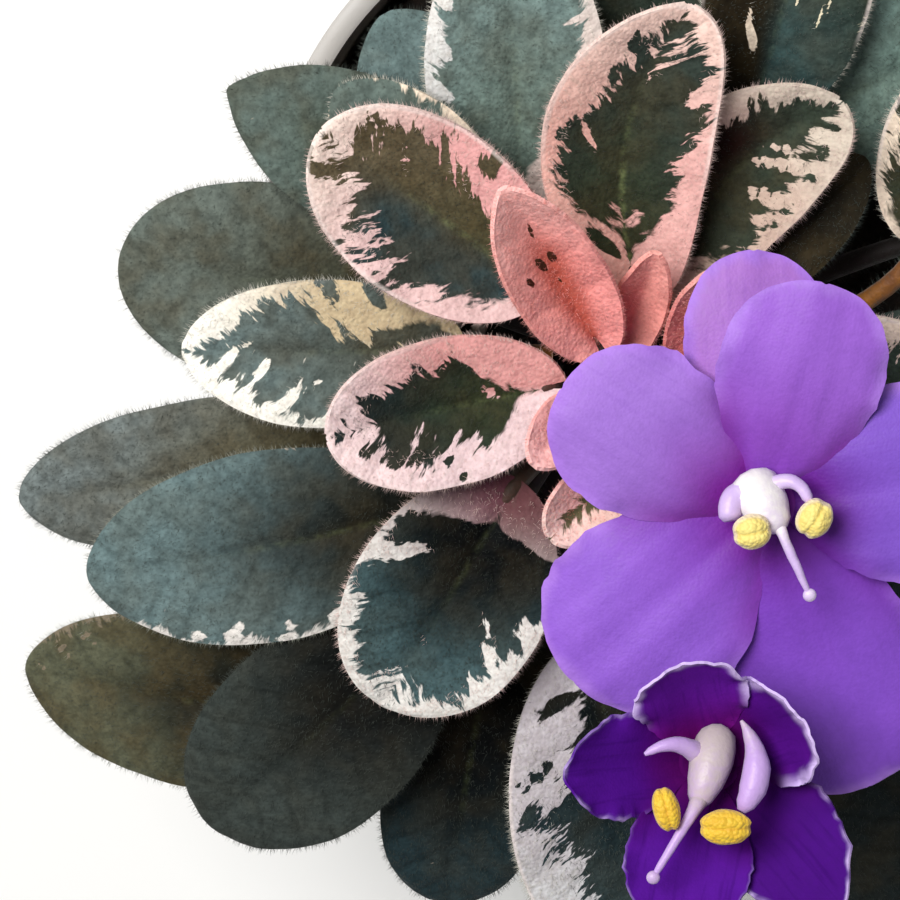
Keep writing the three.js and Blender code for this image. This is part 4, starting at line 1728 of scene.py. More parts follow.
@dataclass
class FlowerStem:
    """The stem that forks to the two blooms, and the sepals under each."""

    root: tuple[float, float] = (312, 74)
    fork: Triple = (9.5, -26.5, 88)
    radius: float = 1.1
    branch_radius: float = 0.85
    steps: int = 24
    sepals: int = 5
    sepal_length: float = 5.0
    sepal_width: float = 2.4
    sepal_thickness: float = 0.5
    cup_radius: float = 0.8
    hair_radius: float = 0.03

    def build(self, crown: Crown, blooms: list[Bloom], skins: "Skins") -> None:
        """Makes the stem, its branches and the sepals.

        Args:
            crown: The crown that it leaves.
            blooms: The blooms that it carries.
            skins: The plant's materials.
        """
        outward, seat = crown.seat(self.root)
        fork = np.array(self.fork)
        share = np.linspace(0, 1, self.steps)
        route = bezier(seat, seat + outward * 4, fork + [-0.5, 0.5, -5], fork, share)
        parts = [Bench.tube("stem", route * MM, np.full(self.steps, self.radius) * MM, 4)]
        routes = [route]
        for bloom in blooms:
            matrix = np.array(bloom.matrix)
            foot = -bloom.throat_depth - 0.3
            below, end = (matrix @ np.array([0, 0, z, 1]) for z in (foot - 7, foot - 1.4))
            line = bezier(fork, fork + [0, 0, 4], below[:3], end[:3], share)
            radii = np.full(self.steps, self.branch_radius) * MM
            parts.append(Bench.tube("branch", line * MM, radii, 4))
            routes.append(line)
            parts += self.calyx(bloom, foot)
        whole = Bench.merge(*parts)
        whole.name = "flower_stalk"
        Bench.cover(whole, skins.flower_stem)
        Bench.smooth(whole, 60)
        Bench.hand_over(whole, "flower_stem", "flower_stem")
        self.fuzz(routes, skins)

    def calyx(self, bloom: Bloom, foot: float) -> list[Piece]:
        """The cup and five sepals under a bloom.

        Args:
            bloom: The bloom.
            foot: The calyx's top in the bloom's frame.

        Returns:
            Their meshes, placed.
        """
        profile = [(AXIS, foot - 1.6), (self.cup_radius, foot - 1.6), (1.2, foot - 1.0), (1.5, foot - 0.3)]
        cup = turned("cup", [*profile, (1.45, foot), (AXIS, foot)], 24)
        Bench.place(cup, bloom.out(Bench.points(cup)))
        made = [cup]
        out = self.cup_radius + self.sepal_length * math.sqrt(1 - bloom.sepal_rise**2)
        for number in range(self.sepals):
            turn = 2 * math.pi * (number + 0.5) / self.sepals
            way = np.array([math.cos(turn), math.sin(turn)])
            base = (*(way * self.cup_radius), foot - 0.9)
            tip = (*(way * out), foot - 0.9 + self.sepal_length * bloom.sepal_rise)
            blade = Blade(base, tip, self.sepal_width, arch=-0.3, cup=0.1, point=0.9, shoulder=0.4)
            piece, t, u = Bench.grid("sepal", 10, 16)
            Bench.place(piece, bloom.out(blade.at(t, u)))
            Bench.apply(piece, "SOLIDIFY", thickness=self.sepal_thickness * MM, offset=0.0)
            made.append(piece)
        return made

    def fuzz(self, routes: list[Array], skins: "Skins") -> None:
        """The stem's hairs.

        Args:
            routes: The stem's centre lines.
            skins: The plant's materials.
        """
        rng = np.random.default_rng(5)
        roots, tips = [], []
        for route in routes:
            count = int(np.linalg.norm(np.diff(route, axis=0), axis=1).sum() * 26)
            spot = rng.uniform(0, self.steps - 1.1, count)
            low = spot.astype(int)
            part = (spot - low)[:, None]
            centre = route[low] * (1 - part) + route[low + 1] * part
            forward = unit(route[low + 1] - route[low])
            way = unit(np.cross(forward, rng.normal(0, 1, (count, 3))))
            root = centre + way * 0.95 * self.branch_radius
            roots.append(root)
            lean = unit(way + rng.normal(0, 0.3, (count, 3)))
            tips.append(root + lean * rng.uniform(0.7, 1.4, (count, 1)))
        hairs = Hairs("flower_stalk_hairs", self.hair_radius)
        hairs.build(np.vstack(roots), np.vstack(tips), skins.down[Ring.INNER]["pale"], "flower_stem")


# ----------------------------------------------------------------- pot and soil


@dataclass
class Pot:
    """The grey pot: a tapered cup with a stepped collar, a rounded lip and six drain holes."""

    height: float = 64.0
    rim: float = 35.0
    lip: float = 2.2
    collar: float = 11.0
    base: float = 25.0
    wall: float = 1.6
    floor: float = 2.0
    drain_holes: int = 6
    drain_circle: float = 17.0
    drain_radius: float = 3.0

    def build(self, skins: "Skins") -> None:
        """Turns the pot and drills it.

        Args:
            skins: The plant's materials.
        """
        base, rim, tall = self.base, self.rim, self.height
        top, foot, mouth = rim - 2.1, tall - self.collar, rim - self.lip
        profile = [
            (AXIS, 0.6), (base - 3.0, 0.6), (base - 2.4, 0.0), (base - 0.9, 0.0), (base - 0.25, 0.22),
            (base, 0.8), (top - 0.1, foot - 0.4), (top + 0.2, foot + 0.05), (top + 0.9, foot + 0.3),
            (top + 1.2, foot + 0.8), (rim - 0.5, tall - 2.4), (rim - 0.15, tall - 1.9), (rim, tall - 1.3),
            (rim, tall - 0.7), (rim - 0.2, tall - 0.2), (rim - 0.6, tall), (mouth + 0.5, tall),
            (mouth + 0.1, tall - 0.2), (mouth, tall - 0.7), (top - self.wall, foot), (base - self.wall, 3.4),
            (base - self.wall - 0.3, 2.6), (base - self.wall - 1.2, self.floor), (AXIS, self.floor),
        ]
        piece = turned("pot_body", [(r * MM, z * MM) for r, z in profile], 160)
        drills = []
        for number in range(self.drain_holes):
            angle = 2 * math.pi * number / self.drain_holes
            spot = (self.drain_circle * math.cos(angle) * MM, self.drain_circle * math.sin(angle) * MM, 0.0)
            size = {"radius": self.drain_radius * MM, "depth": 8 * MM}
            Bench.clear_selection()
            bpy.ops.mesh.primitive_cylinder_add(vertices=32, location=spot, **size)
            drills.append(Bench.added("drill"))
        drill = Bench.merge(*drills)
        Bench.apply(piece, "BOOLEAN", operation="DIFFERENCE", object=drill, solver="EXACT")
        bpy.data.objects.remove(drill)
        Bench.cover(piece, skins.pot)
        Bench.smooth(piece, 40)
        Bench.hand_over(piece, "pot_plastic", "pot")


@dataclass
class Soil:
    """The peat in the pot, with crumbs and a few grains of perlite on it."""

    foot_radius: float = 22.95
    edge_radius: float = 30.85
    bottom: float = 2.3
    surface: float = 57.0
    hole: tuple[float, float] = (-1.0, -11.5)
    crumbs: int = 420
    grains: int = 46

    def level(self, x: Array, y: Array) -> Array:
        """The height of the surface.

        Args:
            x: Places along X.
            y: Places along Y.

        Returns:
            Heights in millimetres.
        """
        coarse = np.sin(x * 0.31 + 1.3) * np.cos(y * 0.27 + 0.4)
        fine = np.sin(x * 0.83 + y * 0.61) * np.cos(y * 0.92 - x * 0.37)
        return self.surface + 0.7 * (coarse + 0.6 * fine)

    def from_crown(self, x: Array, y: Array) -> Array:
        """The distance to the crown's hole."""
        return np.hypot(x - self.hole[0], y - self.hole[1])

    def build(self, skins: "Skins") -> None:
        """Makes the body of soil and what lies on it.

        Args:
            skins: The plant's materials.
        """
        rings = [(AXIS, self.bottom), (self.foot_radius - 1, self.bottom)]
        rings += [(self.foot_radius, self.bottom + 1), (self.edge_radius, self.surface - 0.6)]
        rings += [(self.edge_radius * share, self.surface) for share in np.linspace(0.985, 0.015, 44)]
        piece = turned("soil_body", rings, 120)
        points = Bench.points(piece)
        on_top = points[:, 2] > self.surface - 0.5
        level = self.level(points[:, 0], points[:, 1])
        bumps = 0.55 * rough(points, 0.45) + 0.3 * rough(points, 1.1, 2)
        away = self.from_crown(points[:, 0], points[:, 1])
        points[:, 2] = np.where(on_top, level + bumps * ramp(5.0, 8.0, away), points[:, 2])
        Bench.place(piece, points * MM)
        piece.data.materials.append(skins.peat)
        Bench.smooth(piece, 70)
        Bench.hand_over(piece, "potting_soil", "soil")
        self.scatter("soil_crumbs", self.crumbs, (0.35, 1.1), 3, skins.peat)
        self.scatter("soil_perlite", self.grains, (0.5, 1.0), 8, skins.perlite)

    def scatter(
        self, name: str, count: int, sizes: tuple[float, float], seed: int, material: bpy.types.Material
    ) -> None:
        """Strews one lump over the surface, each copy turned and stretched.

        Args:
            name: The piece's name.
            count: How many.
            sizes: Smallest and largest radius.
            seed: The pattern's seed.
            material: Their material.
        """
        Bench.clear_selection()
        bpy.ops.mesh.primitive_ico_sphere_add(subdivisions=2, radius=1)
        ball, faces = Bench.pattern(Bench.added("lump"))
        ball = ball * (1 + 0.3 * rough(ball, 1.3, seed))[:, None]
        rng = np.random.default_rng(seed)
        turn = rng.uniform(0, 2 * np.pi, count)
        reach = np.sqrt(rng.uniform(0.06, 0.95, count)) * (self.edge_radius - 1.4)
        x, y = reach * np.cos(turn), reach * np.sin(turn)
        clear = self.from_crown(x, y) > 7.4
        x, y = x[clear], y[clear]
        size = rng.uniform(*sizes, (len(x), 1, 1)) * rng.uniform(0.6, 1.2, (len(x), 1, 3))
        spin = [np.array(Euler(rng.uniform(0, 6.28, 3)).to_matrix()) for _ in x]
        body = np.einsum("nij,npj->npi", np.array(spin), ball[None] * size)
        place = np.stack([x, y, self.level(x, y) + 0.25], 1)
        Bench.hand_over(Bench.copies(name, body + place[:, None], faces, material), "potting_soil")


# ------------------------------------------------------------------- the studio


@dataclass
class Skins:
    """The plant's materials, one of each."""

    def __post_init__(self) -> None:
        """Builds them."""
        self.leaf = LeafSkin().material()
        self.backs = dict.fromkeys(Ring, LeafBack().material())
        young = LeafBack("young_leaf_back", srgb(222, 136, 124), srgb(206, 104, 96), srgb(236, 168, 152))
        self.backs[Ring.YOUNG] = young.material()
        self.stalks = {
            # The outer stalks are coloured near black: painted shade, for they run in the dark gaps under the
            # leaves.
            Ring.OUTER: Stem("outer_leaf_stalk", srgb(24, 14, 8), srgb(30, 14, 9)).material(),
            Ring.MIDDLE: Stem("middle_leaf_stalk", srgb(150, 94, 22), srgb(110, 64, 24)).material(),
            Ring.INNER: Stem("inner_leaf_stalk", srgb(56, 42, 24), srgb(72, 40, 30)).material(),
            Ring.YOUNG: Stem("young_leaf_stalk", srgb(196, 120, 104), srgb(150, 120, 84)).material(),
        }
        self.crown = Stem("crown_bark", srgb(92, 76, 50), srgb(70, 52, 36)).material()
        self.flower_stem = Stem("flower_stem_skin", srgb(120, 84, 66), srgb(128, 112, 76)).material()
        self.flesh = {
            "open_bloom": BloomFlesh("white_flesh", srgb(238, 234, 232), srgb(208, 182, 232)).material(),
            "opening_bloom": BloomFlesh("rosy_flesh", srgb(196, 182, 180), srgb(194, 160, 222)).material(),
        }
        self.pollen = {
            "open_bloom": Pollen(
                "pale_pollen", bright=srgb(244, 226, 132), deep=srgb(234, 202, 96), rim=srgb(246, 228, 190)
            ).material(),
            "opening_bloom": Pollen(
                "gold_pollen", bright=srgb(236, 196, 52), deep=srgb(216, 158, 30), rim=srgb(232, 190, 70)
            ).material(),
        }
        self.pot = PotPlastic().material()
        self.peat = Peat().material()
        self.perlite = Perlite().material()
        self.petals = {
            "open_bloom": PetalSkin("violet_petal", srgb(112, 54, 168)).material(),
            "opening_bloom": PetalSkin(
                "indigo_petal", srgb(40, 2, 80), vein=0.3, sheen=0.0, sparkle=0.3, gloss=0.04, matte=0.66
            ).material(),
        }
        tints = {
            Ring.OUTER: (srgb(62, 68, 62), srgb(140, 142, 130)),
            Ring.MIDDLE: (srgb(76, 84, 78), srgb(206, 202, 190)),
            Ring.INNER: (srgb(48, 54, 46), srgb(228, 200, 192)),
            Ring.YOUNG: (srgb(206, 116, 106), srgb(244, 168, 160)),
        }
        self.down = {
            ring: {
                "green": Down(f"{ring.value}_green_down", green).material(),
                "pale": Down(f"{ring.value}_pale_down", pale).material(),
            }
            for ring, (green, pale) in tints.items()
        }


@dataclass
class Studio:
    """The camera at the photograph's angle, the pale floor and the soft lights."""

    look_at: Triple = (-16.8, -22.0, 64.0)
    distance: float = 360.0
    elevation: float = 104.0
    lens: float = 144.0

    def camera(self) -> None:
        """Sets the camera."""
        angle = math.radians(self.elevation)
        back = Vector((0.0, -math.cos(angle), math.sin(angle)))
        up = Vector((0.0, math.sin(angle), math.cos(angle)))
        place = (Vector(self.look_at) + back * self.distance) * MM
        data = bpy.data.cameras.new("view")
        data.sensor_width = 36.0
        data.lens = self.lens
        data.clip_start = 0.01
        data.clip_end = 20.0
        view = Bench.linked("view", data)
        right = up.cross(back)
        turn = Matrix((right, up, back)).transposed().to_4x4()
        view.matrix_world = Matrix.Translation(place) @ turn
        bpy.context.scene.camera = view

    def floor(self) -> None:
        """Lays the floor."""
        Bench.clear_selection()
        bpy.ops.mesh.primitive_plane_add(size=6.0)
        ground = Bench.added("studio_floor")
        ground.data.materials.append(Shader("studio_white").finish(srgb(252, 252, 251), 0.9))

    def lamp(self, name: str, place: Triple, aim: Triple, size: float, power: float, colour: Triple) -> None:
        """Hangs one soft lamp.

        Args:
            name: Its name.
            place: Its place in metres.
            aim: What it faces, in metres.
            size: Its side in metres.
            power: Its power in watts.
            colour: Its colour.
        """
        data = bpy.data.lights.new(name, "AREA")
        data.shape = "SQUARE"
        data.size = size
        data.energy = power
        data.color = colour
        lamp = Bench.linked(name, data)
        lamp.location = place
        lamp.rotation_euler = (Vector(aim) - Vector(place)).to_track_quat("-Z", "Y").to_euler()

    def light(self) -> None:
        """Hangs the lamps and sets the pale surroundings."""
        scene = bpy.context.scene
        scene.view_settings.view_transform = "Standard"
        world = bpy.data.worlds.new("studio_air")
        world.use_nodes = True
        world.node_tree.nodes["Background"].inputs["Color"].default_value = (1.0, 1.0, 1.0, 1.0)
        world.node_tree.nodes["Background"].inputs["Strength"].default_value = 0.15
        scene.world = world
        centre = (0.0, -0.01, 0.07)
        self.lamp("key", (-0.4, 0.36, 0.82), centre, 0.5, 10.7, (1.0, 0.99, 0.97))
        self.lamp("fill", (0.7, -0.3, 0.7), centre, 0.7, 1.1, (0.96, 0.98, 1.0))


# -------------------------------------------------------------------- the plant


def outer_leaves() -> list[Leaf]:
    """The dull lowest ring, clockwise from the left.

    Returns:
        The leaves.
    """
    ring, round_tip = Ring.OUTER, {"point": 0.5}
    # Several of the lowest leaves are near black at their bases, and darker than the rings above: painted
    # shade under the upper rings.
    return [
        Leaf(ring, 1, (-22.6, -4, 69.6), (-49.2, -3.3, 65.8), 19.4, (168, 61),
             Dress((68, 69, 56), (98, 107, 100), warmth=0.55), round_tip),
        Leaf(ring, 2, (-28.7, -21, 67.6), (-60.2, -27.7, 62), 15.2, (195, 60.5),
             Dress((92, 88, 68), (112, 121, 120), warmth=0.5)),
        Leaf(ring, 3, (-29.2, -48.2, 69.8), (-60.2, -45.8, 60.8), 18, (222, 62.6),
             Dress((7, 8, 7), (86, 88, 70), None, (1.1, 1.1, 1.1, 1.1, 1.1, 0.95),
                   (1.1, 1.1, 1.1, 1.0, 0.93, 0.9), DUN, DUN, DUN, depth=2.8, feather=0.35, warmth=0.6,
                   flecks=((0.86, -0.55, 1.1, -0.2), (0.78, -0.7, 0.9, -0.2), (0.93, -0.2, 0.8, -0.2)))),
        Leaf(ring, 4, (-20.6, -38.6, 74.4), (-41, -60, 68.4), 20.4, (240, 66),
             Dress((8, 9, 9), (56, 63, 60), depth=2.4, warmth=0.12, vein=0.04), round_tip),
        Leaf(ring, 5, (-13.6, -45, 70), (-17.4, -70.6, 62.3), 16.4, (248, 61.8),
             Dress((3, 5, 6), (36, 52, 56), depth=3.2, warmth=0.2), round_tip),
        Leaf(ring, 6, (12, -43, 70.8), (28.9, -70.4, 64.8), 19.2, (296, 63),
             Dress((18, 20, 18), (34, 42, 42), warmth=0.3)),
        Leaf(ring, 7, (23, -30, 72.3), (46, -47, 67.6), 17.5, (322, 63.8), Dress(NEAR_BLACK, DEEP_GREEN)),
        Leaf(ring, 8, (26, -17, 68.4), (51, -23, 64), 17, (345, 60.5), Dress(NEAR_BLACK, TEAL)),
        Leaf(ring, 9, (29, 0, 68.2), (53, 6, 65), 17, (14, 60.5), Dress(DEEP_GREEN, TEAL)),
        Leaf(ring, 10, (18, 13.6, 67.8), (36, 32, 66.3), 16.6, (42, 60.5), Dress(DEEP_GREEN, OLIVE)),
        Leaf(ring, 11, (3, 18, 68), (6, 43, 66.5), 17, (78, 60.5), Dress(DEEP_GREEN, TEAL)),
        Leaf(ring, 12, (-12, 2.5, 67.5), (-23, 22, 67), 16, (125, 60.5),
             Dress((70, 84, 81), (98, 117, 116), warmth=0.3)),
        Leaf(ring, 13, (-5.5, -36, 66.4), (-5, -62, 60.3), 15.5, (272, 60.3), Dress(NEAR_BLACK, DEEP_GREEN)),
        Leaf(ring, 14, (-19, 7, 73.5), (-38, 15.4, 71.5), 14.4, (147, 64.5),
             Dress((70, 80, 68), (92, 106, 100), warmth=0.5), {"point": 0.78}),
        Leaf(ring, 15, (-21.2, -25.7, 75.5), (-52.5, -33.1, 71.4), 19.2, (207, 65.5),
             Dress((24, 26, 22), (101, 121, 122), None,
                   (1.2, 1.1, 0.92, 0.95, 0.96, 1.0, 0.94, 1.2), (1.2, 1.05, 1.1, 1.1, 1.1, 1.2, 1.2, 1.2),
                   WHITE, CREAM, WHITE, feather=0.3, warmth=0.3,
                   flecks=((0.3, 0.88, 1.3, -0.3), (0.45, 0.9, 1.4, -0.3), (0.6, 0.88, 1.4, -0.35),
                           (0.7, 0.9, 1.2, -0.3), (0.2, 0.9, 1.0, -0.3)))),
        # Leaf 16 is coloured paler than its neighbours: painted light, where it stands lit between shaded
        # leaves.
        Leaf(ring, 16, (13, 11, 72.4), (34, 22, 72.4), 15.2, (55, 64.5),
             Dress((88, 106, 96), (130, 158, 150), warmth=0.3)),
        Leaf(ring, 17, (22, -12, 70.6), (43.5, -14.5, 69), 14.2, (357, 63),
             Dress((50, 60, 52), (84, 104, 102), warmth=0.3)),
    ]


def middle_leaves() -> list[Leaf]:
    """The blue-green ring with cream or white margins.

    Returns:
        The leaves.
    """
    ring = Ring.MIDDLE
    plain = (0.75, 0.7, 0.66, 0.62, 0.5)
    return [
        Leaf(ring, 1, (-14, 4.3, 77.5), (-27.4, 16.2, 77), 11.8, (128, 68.5),
             Dress((80, 90, 80), (94, 108, 102), None, (1.2, 1.1, 1, 1, 1),
                   (1, 0.95, 0.9, 0.95, 1.1), feather=0.35, warmth=0.3)),
        Leaf(ring, 2, (-10, 6, 74), (-11.5, 33, 75.5), 17, (104, 65.5),
             Dress((101, 118, 109), (117, 138, 135), None,
                   (0.9, 0.88, 0.84, 0.84, 0.85, 0.88, 0.88, 0.8, 0.7),
                   (0.2, 0.3, 0.52, 0.66, 0.72, 0.78, 0.82, 0.86, 0.9, 0.85, 0.7),
                   (226, 228, 226), (226, 208, 200), WHITE, feather=0.4, warmth=0.4,
                   flecks=((0.55, 0.82, 1.0, -0.4), (0.7, 0.85, 1.0, -0.4), (0.42, 0.85, 1.0, -0.35)))),
        Leaf(ring, 3, (-17.8, -8.7, 77.5), (-42.5, -9.3, 75), 14.4, (180, 68),
             Dress((76, 80, 72), (103, 119, 118), None,
                   (0.9, 0.9, 0.9, 0.9, 0.88, 0.86, 0.8, 0.74, 0.6, 0.35, 0),
                   (0.8, 0.7, 0.4, 0.2, 0.36, 0.72, 0.8, 0.72, 0.5, 0.2, 0),
                   (240, 238, 228), (208, 188, 152), (255, 254, 244), feather=0.55, dashes=0.1,
                   warmth=0.5,
                   flecks=((0.57, 0.6, 1.9, -0.4), (0.68, 0.25, 0.8, -0.3), (0.47, 0.4, 0.9, -0.2),
                           (0.83, 0.22, 1.7, -0.4), (0.72, -0.12, 0.6, -0.2), (0.33, -0.5, 2.4, -0.9),
                           (0.44, -0.95, 1.4, 0.4), (0.28, -0.9, 1.6, 0.5)))),
        # Leaf 4's near-black to dark olive colours are painted shade under inner leaf 5.
        Leaf(ring, 4, (7, -3.3, 76.6), (22.5, 9.6, 77.4), 10.4, (40, 70),
             Dress((14, 9, 6), (40, 36, 26), depth=1.2, warmth=0.5)),
        # Leaf 5's dark brown flank is painted shade on its left side.
        Leaf(ring, 5, (12.2, 15.4, 76.5), (17.5, 38.5, 78), 15.4, (74, 67),
             Dress((52, 74, 74), (46, 54, 44), (30, 24, 14), (1.2, 1.2, 1.1, 1.05, 1, 0.9, 0.8),
                   (1.2, 1.2, 1.2, 1.0, 0.66, 0.66, 0.6), CREAM, (232, 222, 192), CREAM, feather=0.7,
                   warmth=0.3, slant=12,
                   flecks=((0.27, 0.36, 2.2, -0.35), (0.42, -0.5, 1.8, -0.25), (0.47, -0.2, 1.6, -0.15)))),
        Leaf(ring, 6, (28.7, 2.4, 75.6), (32.2, 20.8, 77.4), 13.4, (2, 68),
             Dress((52, 60, 46), (58, 66, 54), None, (0.9, 0.9, 0.86, 0.8, 0.6), plain, feather=0.7)),
        # Leaves 7 and 8 are near black at their bases: painted shade under the blooms above.
        Leaf(ring, 7, (-2.1, -41, 75), (2, -73, 72.5), 21.4, (270, 65.5),
             Dress((8, 15, 17), (44, 62, 66), None, (0.9, 0.9, 0.88, 0.85, 0.8, 0.7),
                   (0.2, 0.4, 0.36, 0.4, 0.56, 0.64, 0.6, 0.56, 0.5, 0.3, 0), WHITE, (192, 186, 190),
                   (212, 216, 216), feather=0.9, depth=2.2, warmth=0.2,
                   flecks=((0.13, -0.66, 1.7, 0.6), (0.33, -0.76, 1.9, 0.35), (0.45, -0.78, 1.9, 0.9))),
             {"point": 0.5}),
        Leaf(ring, 8, (15, -27, 77), (35, -42, 77.5), 17, (325, 67.5),
             Dress(NEAR_BLACK, TEAL, None, (0.8, 0.8, 0.8, 0.75, 0.6), (0.8, 0.8, 0.8, 0.75, 0.6))),
    ]


def inner_leaves() -> list[Leaf]:
    """The cupped ring with its broad cream and pink margins.

    Returns:
        The leaves.
    """
    ring = Ring.INNER
    plain = (0.7, 0.66, 0.6, 0.56, 0.5)
    return [
        # Leaf 1's near-black base and dusky pink margins are painted shade under inner leaf 2.
        Leaf(ring, 1, (-11.5, -23, 80), (-23.4, -43.8, 79), 19, (235, 72),
             Dress((2, 4, 5), (68, 91, 94), None,
                   (0, 0.15, 1.2, 1.2, 0.86, 0.9, 0.74, 0.7, 0.62, 0.5, 0.2),
                   (0, 0, 0.75, 0.94, 0.8, 0.94, 0.89, 0.84, 0.76, 0.55, 0.15),
                   (104, 64, 68), (118, 74, 84), (230, 228, 222), feather=0.55, turn=0.26,
                   depth=3.3, vein=0.08, warmth=0.2,
                   flecks=((0.37, -0.66, 2.0, -0.5), (0.48, 0.5, 1.5, -0.3), (0.66, 0.02, 0.6, -0.15),
                           (0.84, -0.2, 1.4, -0.3), (0.9, 0.18, 1.0, -0.3), (0.43, 0.86, 1.2, -0.6),
                           (0.58, 0.66, 1.4, -0.5), (0.5, 0.85, 1.0, 0.4), (0.27, -0.85, 1.2, 0.4)),
                   marbled=((0.9, 0.1, 0.14, 0.7),)),
             {"arch": 1.0, "cup": 0.08}),
        Leaf(ring, 2, (-7.9, -11.4, 82.5), (-28.3, -15.6, 85), 14.3, (185, 74.5),
             Dress((42, 52, 33), (32, 42, 42), None,
                   (0, 0.05, 0.48, 0.6, 0.48, 0.56, 0.48, 0.44, 0.3, 0.1, 0),
                   (0, 0.1, 0.24, 0.5, 0.8, 0.58, 0.64, 0.56, 0.3, 0.1, 0),
                   (228, 204, 206), (230, 166, 162), (238, 214, 214), feather=0.6, vein=0.15,
                   warmth=0.3,
                   flecks=((0.5, 0.68, 0.7, 0.25), (0.84, -0.12, 1.8, 0.45),
                           (0.24, -0.1, 0.8, -0.25), (0.47, -0.72, 1.2, -0.3), (0.46, 0.9, 0.4, 0.2)),
                   marbled=((0.7, 0.36, 0.32, 0.44), (0.88, -0.1, 0.14, 0.5)))),
        Leaf(ring, 3, (-9.9, -1.1, 82), (-28.8, 13.1, 83), 16.8, (140, 73),
             Dress((72, 68, 46), (98, 88, 68), (42, 62, 66),
                   (0.6, 0.68, 0.7, 0.72, 0.84, 0.9, 0.5, 0.62, 0.36, 0.3, 0.1),
                   (0.9, 0.84, 0.66, 0.5, 0.42, 0.5, 0.86, 0.82, 0.62, 0.2, 0),
                   (230, 196, 194), (232, 172, 170), (240, 222, 210), feather=0.75, turn=0.78,
                   vein=0.25, warmth=0.5,
                   flecks=((0.57, 0.68, 1.6, -0.5), (0.67, 0.82, 2.0, 0.3), (0.91, 0.6, 2.0, 0.35),
                           (0.42, -0.86, 1.3, 0.8), (0.8, -0.5, 1.9, 0.3), (0.86, -0.62, 1.5, 0.25),
                           (0.91, -0.3, 1.2, 0.2), (0.66, -0.3, 1.6, -0.15)),
                   marbled=((0.86, -0.1, 0.16, 0.7), (0.6, 0.8, 0.16, 0.3)))),
        Leaf(ring, 4, (0.2, 0.1, 82.5), (4.9, 25.3, 87), 15.6, (95, 73),
             Dress((44, 52, 36), (48, 58, 52), None,
                   (0, 0.05, 0.62, 0.76, 0.74, 0.72, 0.36, 0.42, 0.34, 0.2, 0),
                   (0, 0.2, 0.62, 0.8, 0.68, 0.72, 0.86, 0.6, 0.86, 0.6, 0),
                   (230, 178, 166), (226, 176, 170), (236, 204, 192), feather=0.65, vein=0.4,
                   slant=30, warmth=0.4,
                   marbled=((0.82, -0.05, 0.16, 0.55), (0.2, 0.0, 0.09, 0.5)),
                   flecks=((0.48, 0.5, 1.8, -0.35), (0.76, -0.2, 2.0, -0.15), (0.84, 0.15, 1.7, -0.4),
                           (0.1, 0.5, 1.4, 0.5), (0.68, -0.72, 1.1, -0.5), (0.7, 0.42, 1.3, 0.5),
                           (0.83, 0.45, 1.2, 0.3), (0.5, 0.9, 0.7, -0.3))),
             {"bow": 3.0}),
        # Leaf 5's dark red-brown flank is painted shadow, cast on its left side by the neighbouring leaf.
        Leaf(ring, 5, (4.2, -0.4, 79.8), (19.3, 16, 83.8), 14, (57, 72.5),
             Dress((42, 46, 34), (54, 64, 53), (34, 14, 10),
                   (0.5, 0.9, 1.2, 1.2, 1.2, 1.1, 0.62, 0.58, 0.76, 0.56, 0),
                   (0, 0.55, 0.74, 0.82, 0.8, 0.76, 0.7, 0.66, 0.58, 0.38, 0),
                   (218, 178, 168), (202, 178, 162), (210, 198, 182), feather=0.55, vein=0.15,
                   warmth=0.4,
                   flecks=((0.34, -0.76, 0.7, 0.36), (0.45, -0.8, 0.8, 0.4), (0.55, -0.84, 0.6, 0.36),
                           (0.69, -0.76, 0.6, 0.36), (0.8, -0.66, 0.6, 0.36), (0.9, -0.5, 0.6, 0.36),
                           (0.62, -0.3, 1.8, -0.3), (0.7, -0.24, 1.3, -0.2), (0.5, -0.5, 1.2, -0.25)),
                   marbled=((0.82, -0.4, 0.14, 0.24),)),
             {"bow": 2.2}),
        Leaf(ring, 6, (10, -12, 81), (31, -10, 84), 14, (5, 73),
             Dress((56, 68, 52), (66, 80, 68), None, plain, plain, vein=0.5)),
    ]


def young_leaves() -> list[Leaf]:
    """The small folded leaves at the crown.

    Returns:
        The leaves.
    """
    ring, none = Ring.YOUNG, (-1.0, -1.0)
    return [
        Leaf(ring, 1, (-3.4, -5.6, 86.5), (-12.1, 10.2, 97), 8.8, (128, 78),
             Dress((70, 26, 18), (64, 24, 16), None, none, none, (255, 178, 170),
                   (255, 168, 162), (255, 196, 190), (200, 100, 84), feather=0.2, slant=14,
                   flecks=((0.69, -0.02, 0.95, 0.2), (0.5, 0.2, 0.8, 0.3), (0.51, -0.14, 0.6, 0.36),
                           (0.49, 0.6, 0.5, 0.22), (0.36, 0.0, 0.3, 0.15)))),
        Leaf(ring, 2, (-0.2, -7.3, 83.2), (2, 3, 90), 5, (86, 77),
             Dress(SALMON, SALMON, None, none, none, (226, 134, 128), (236, 156, 146),
                   (244, 172, 162), feather=0.0)),
        Leaf(ring, 3, (5, -7.6, 85), (7.4, 1.7, 91.5), 5, (30, 78),
             Dress(SALMON, SALMON, None, none, none, (216, 126, 122), (230, 150, 144), ROSE,
                   feather=0.0)),
        Leaf(ring, 4, (-1.5, -19.8, 84.5), (-7.4, -25.1, 86), 6.6, (262, 77),
             Dress((84, 88, 60), (90, 84, 64), None, (0.3, 0.4, 0.3, 0.2), (0.2, 0.3, 0.2, 0.1),
                   (234, 198, 186), (232, 180, 176), (238, 206, 198), feather=0.4)),
        Leaf(ring, 5, (-4.4, -11.6, 87), (-9, -17, 90), 5.4, (205, 78),
             Dress(SALMON, SALMON, None, none, none, (240, 168, 166), (240, 176, 172),
                   (246, 194, 190), feather=0.0), {"cup": 0.32}),
    ]


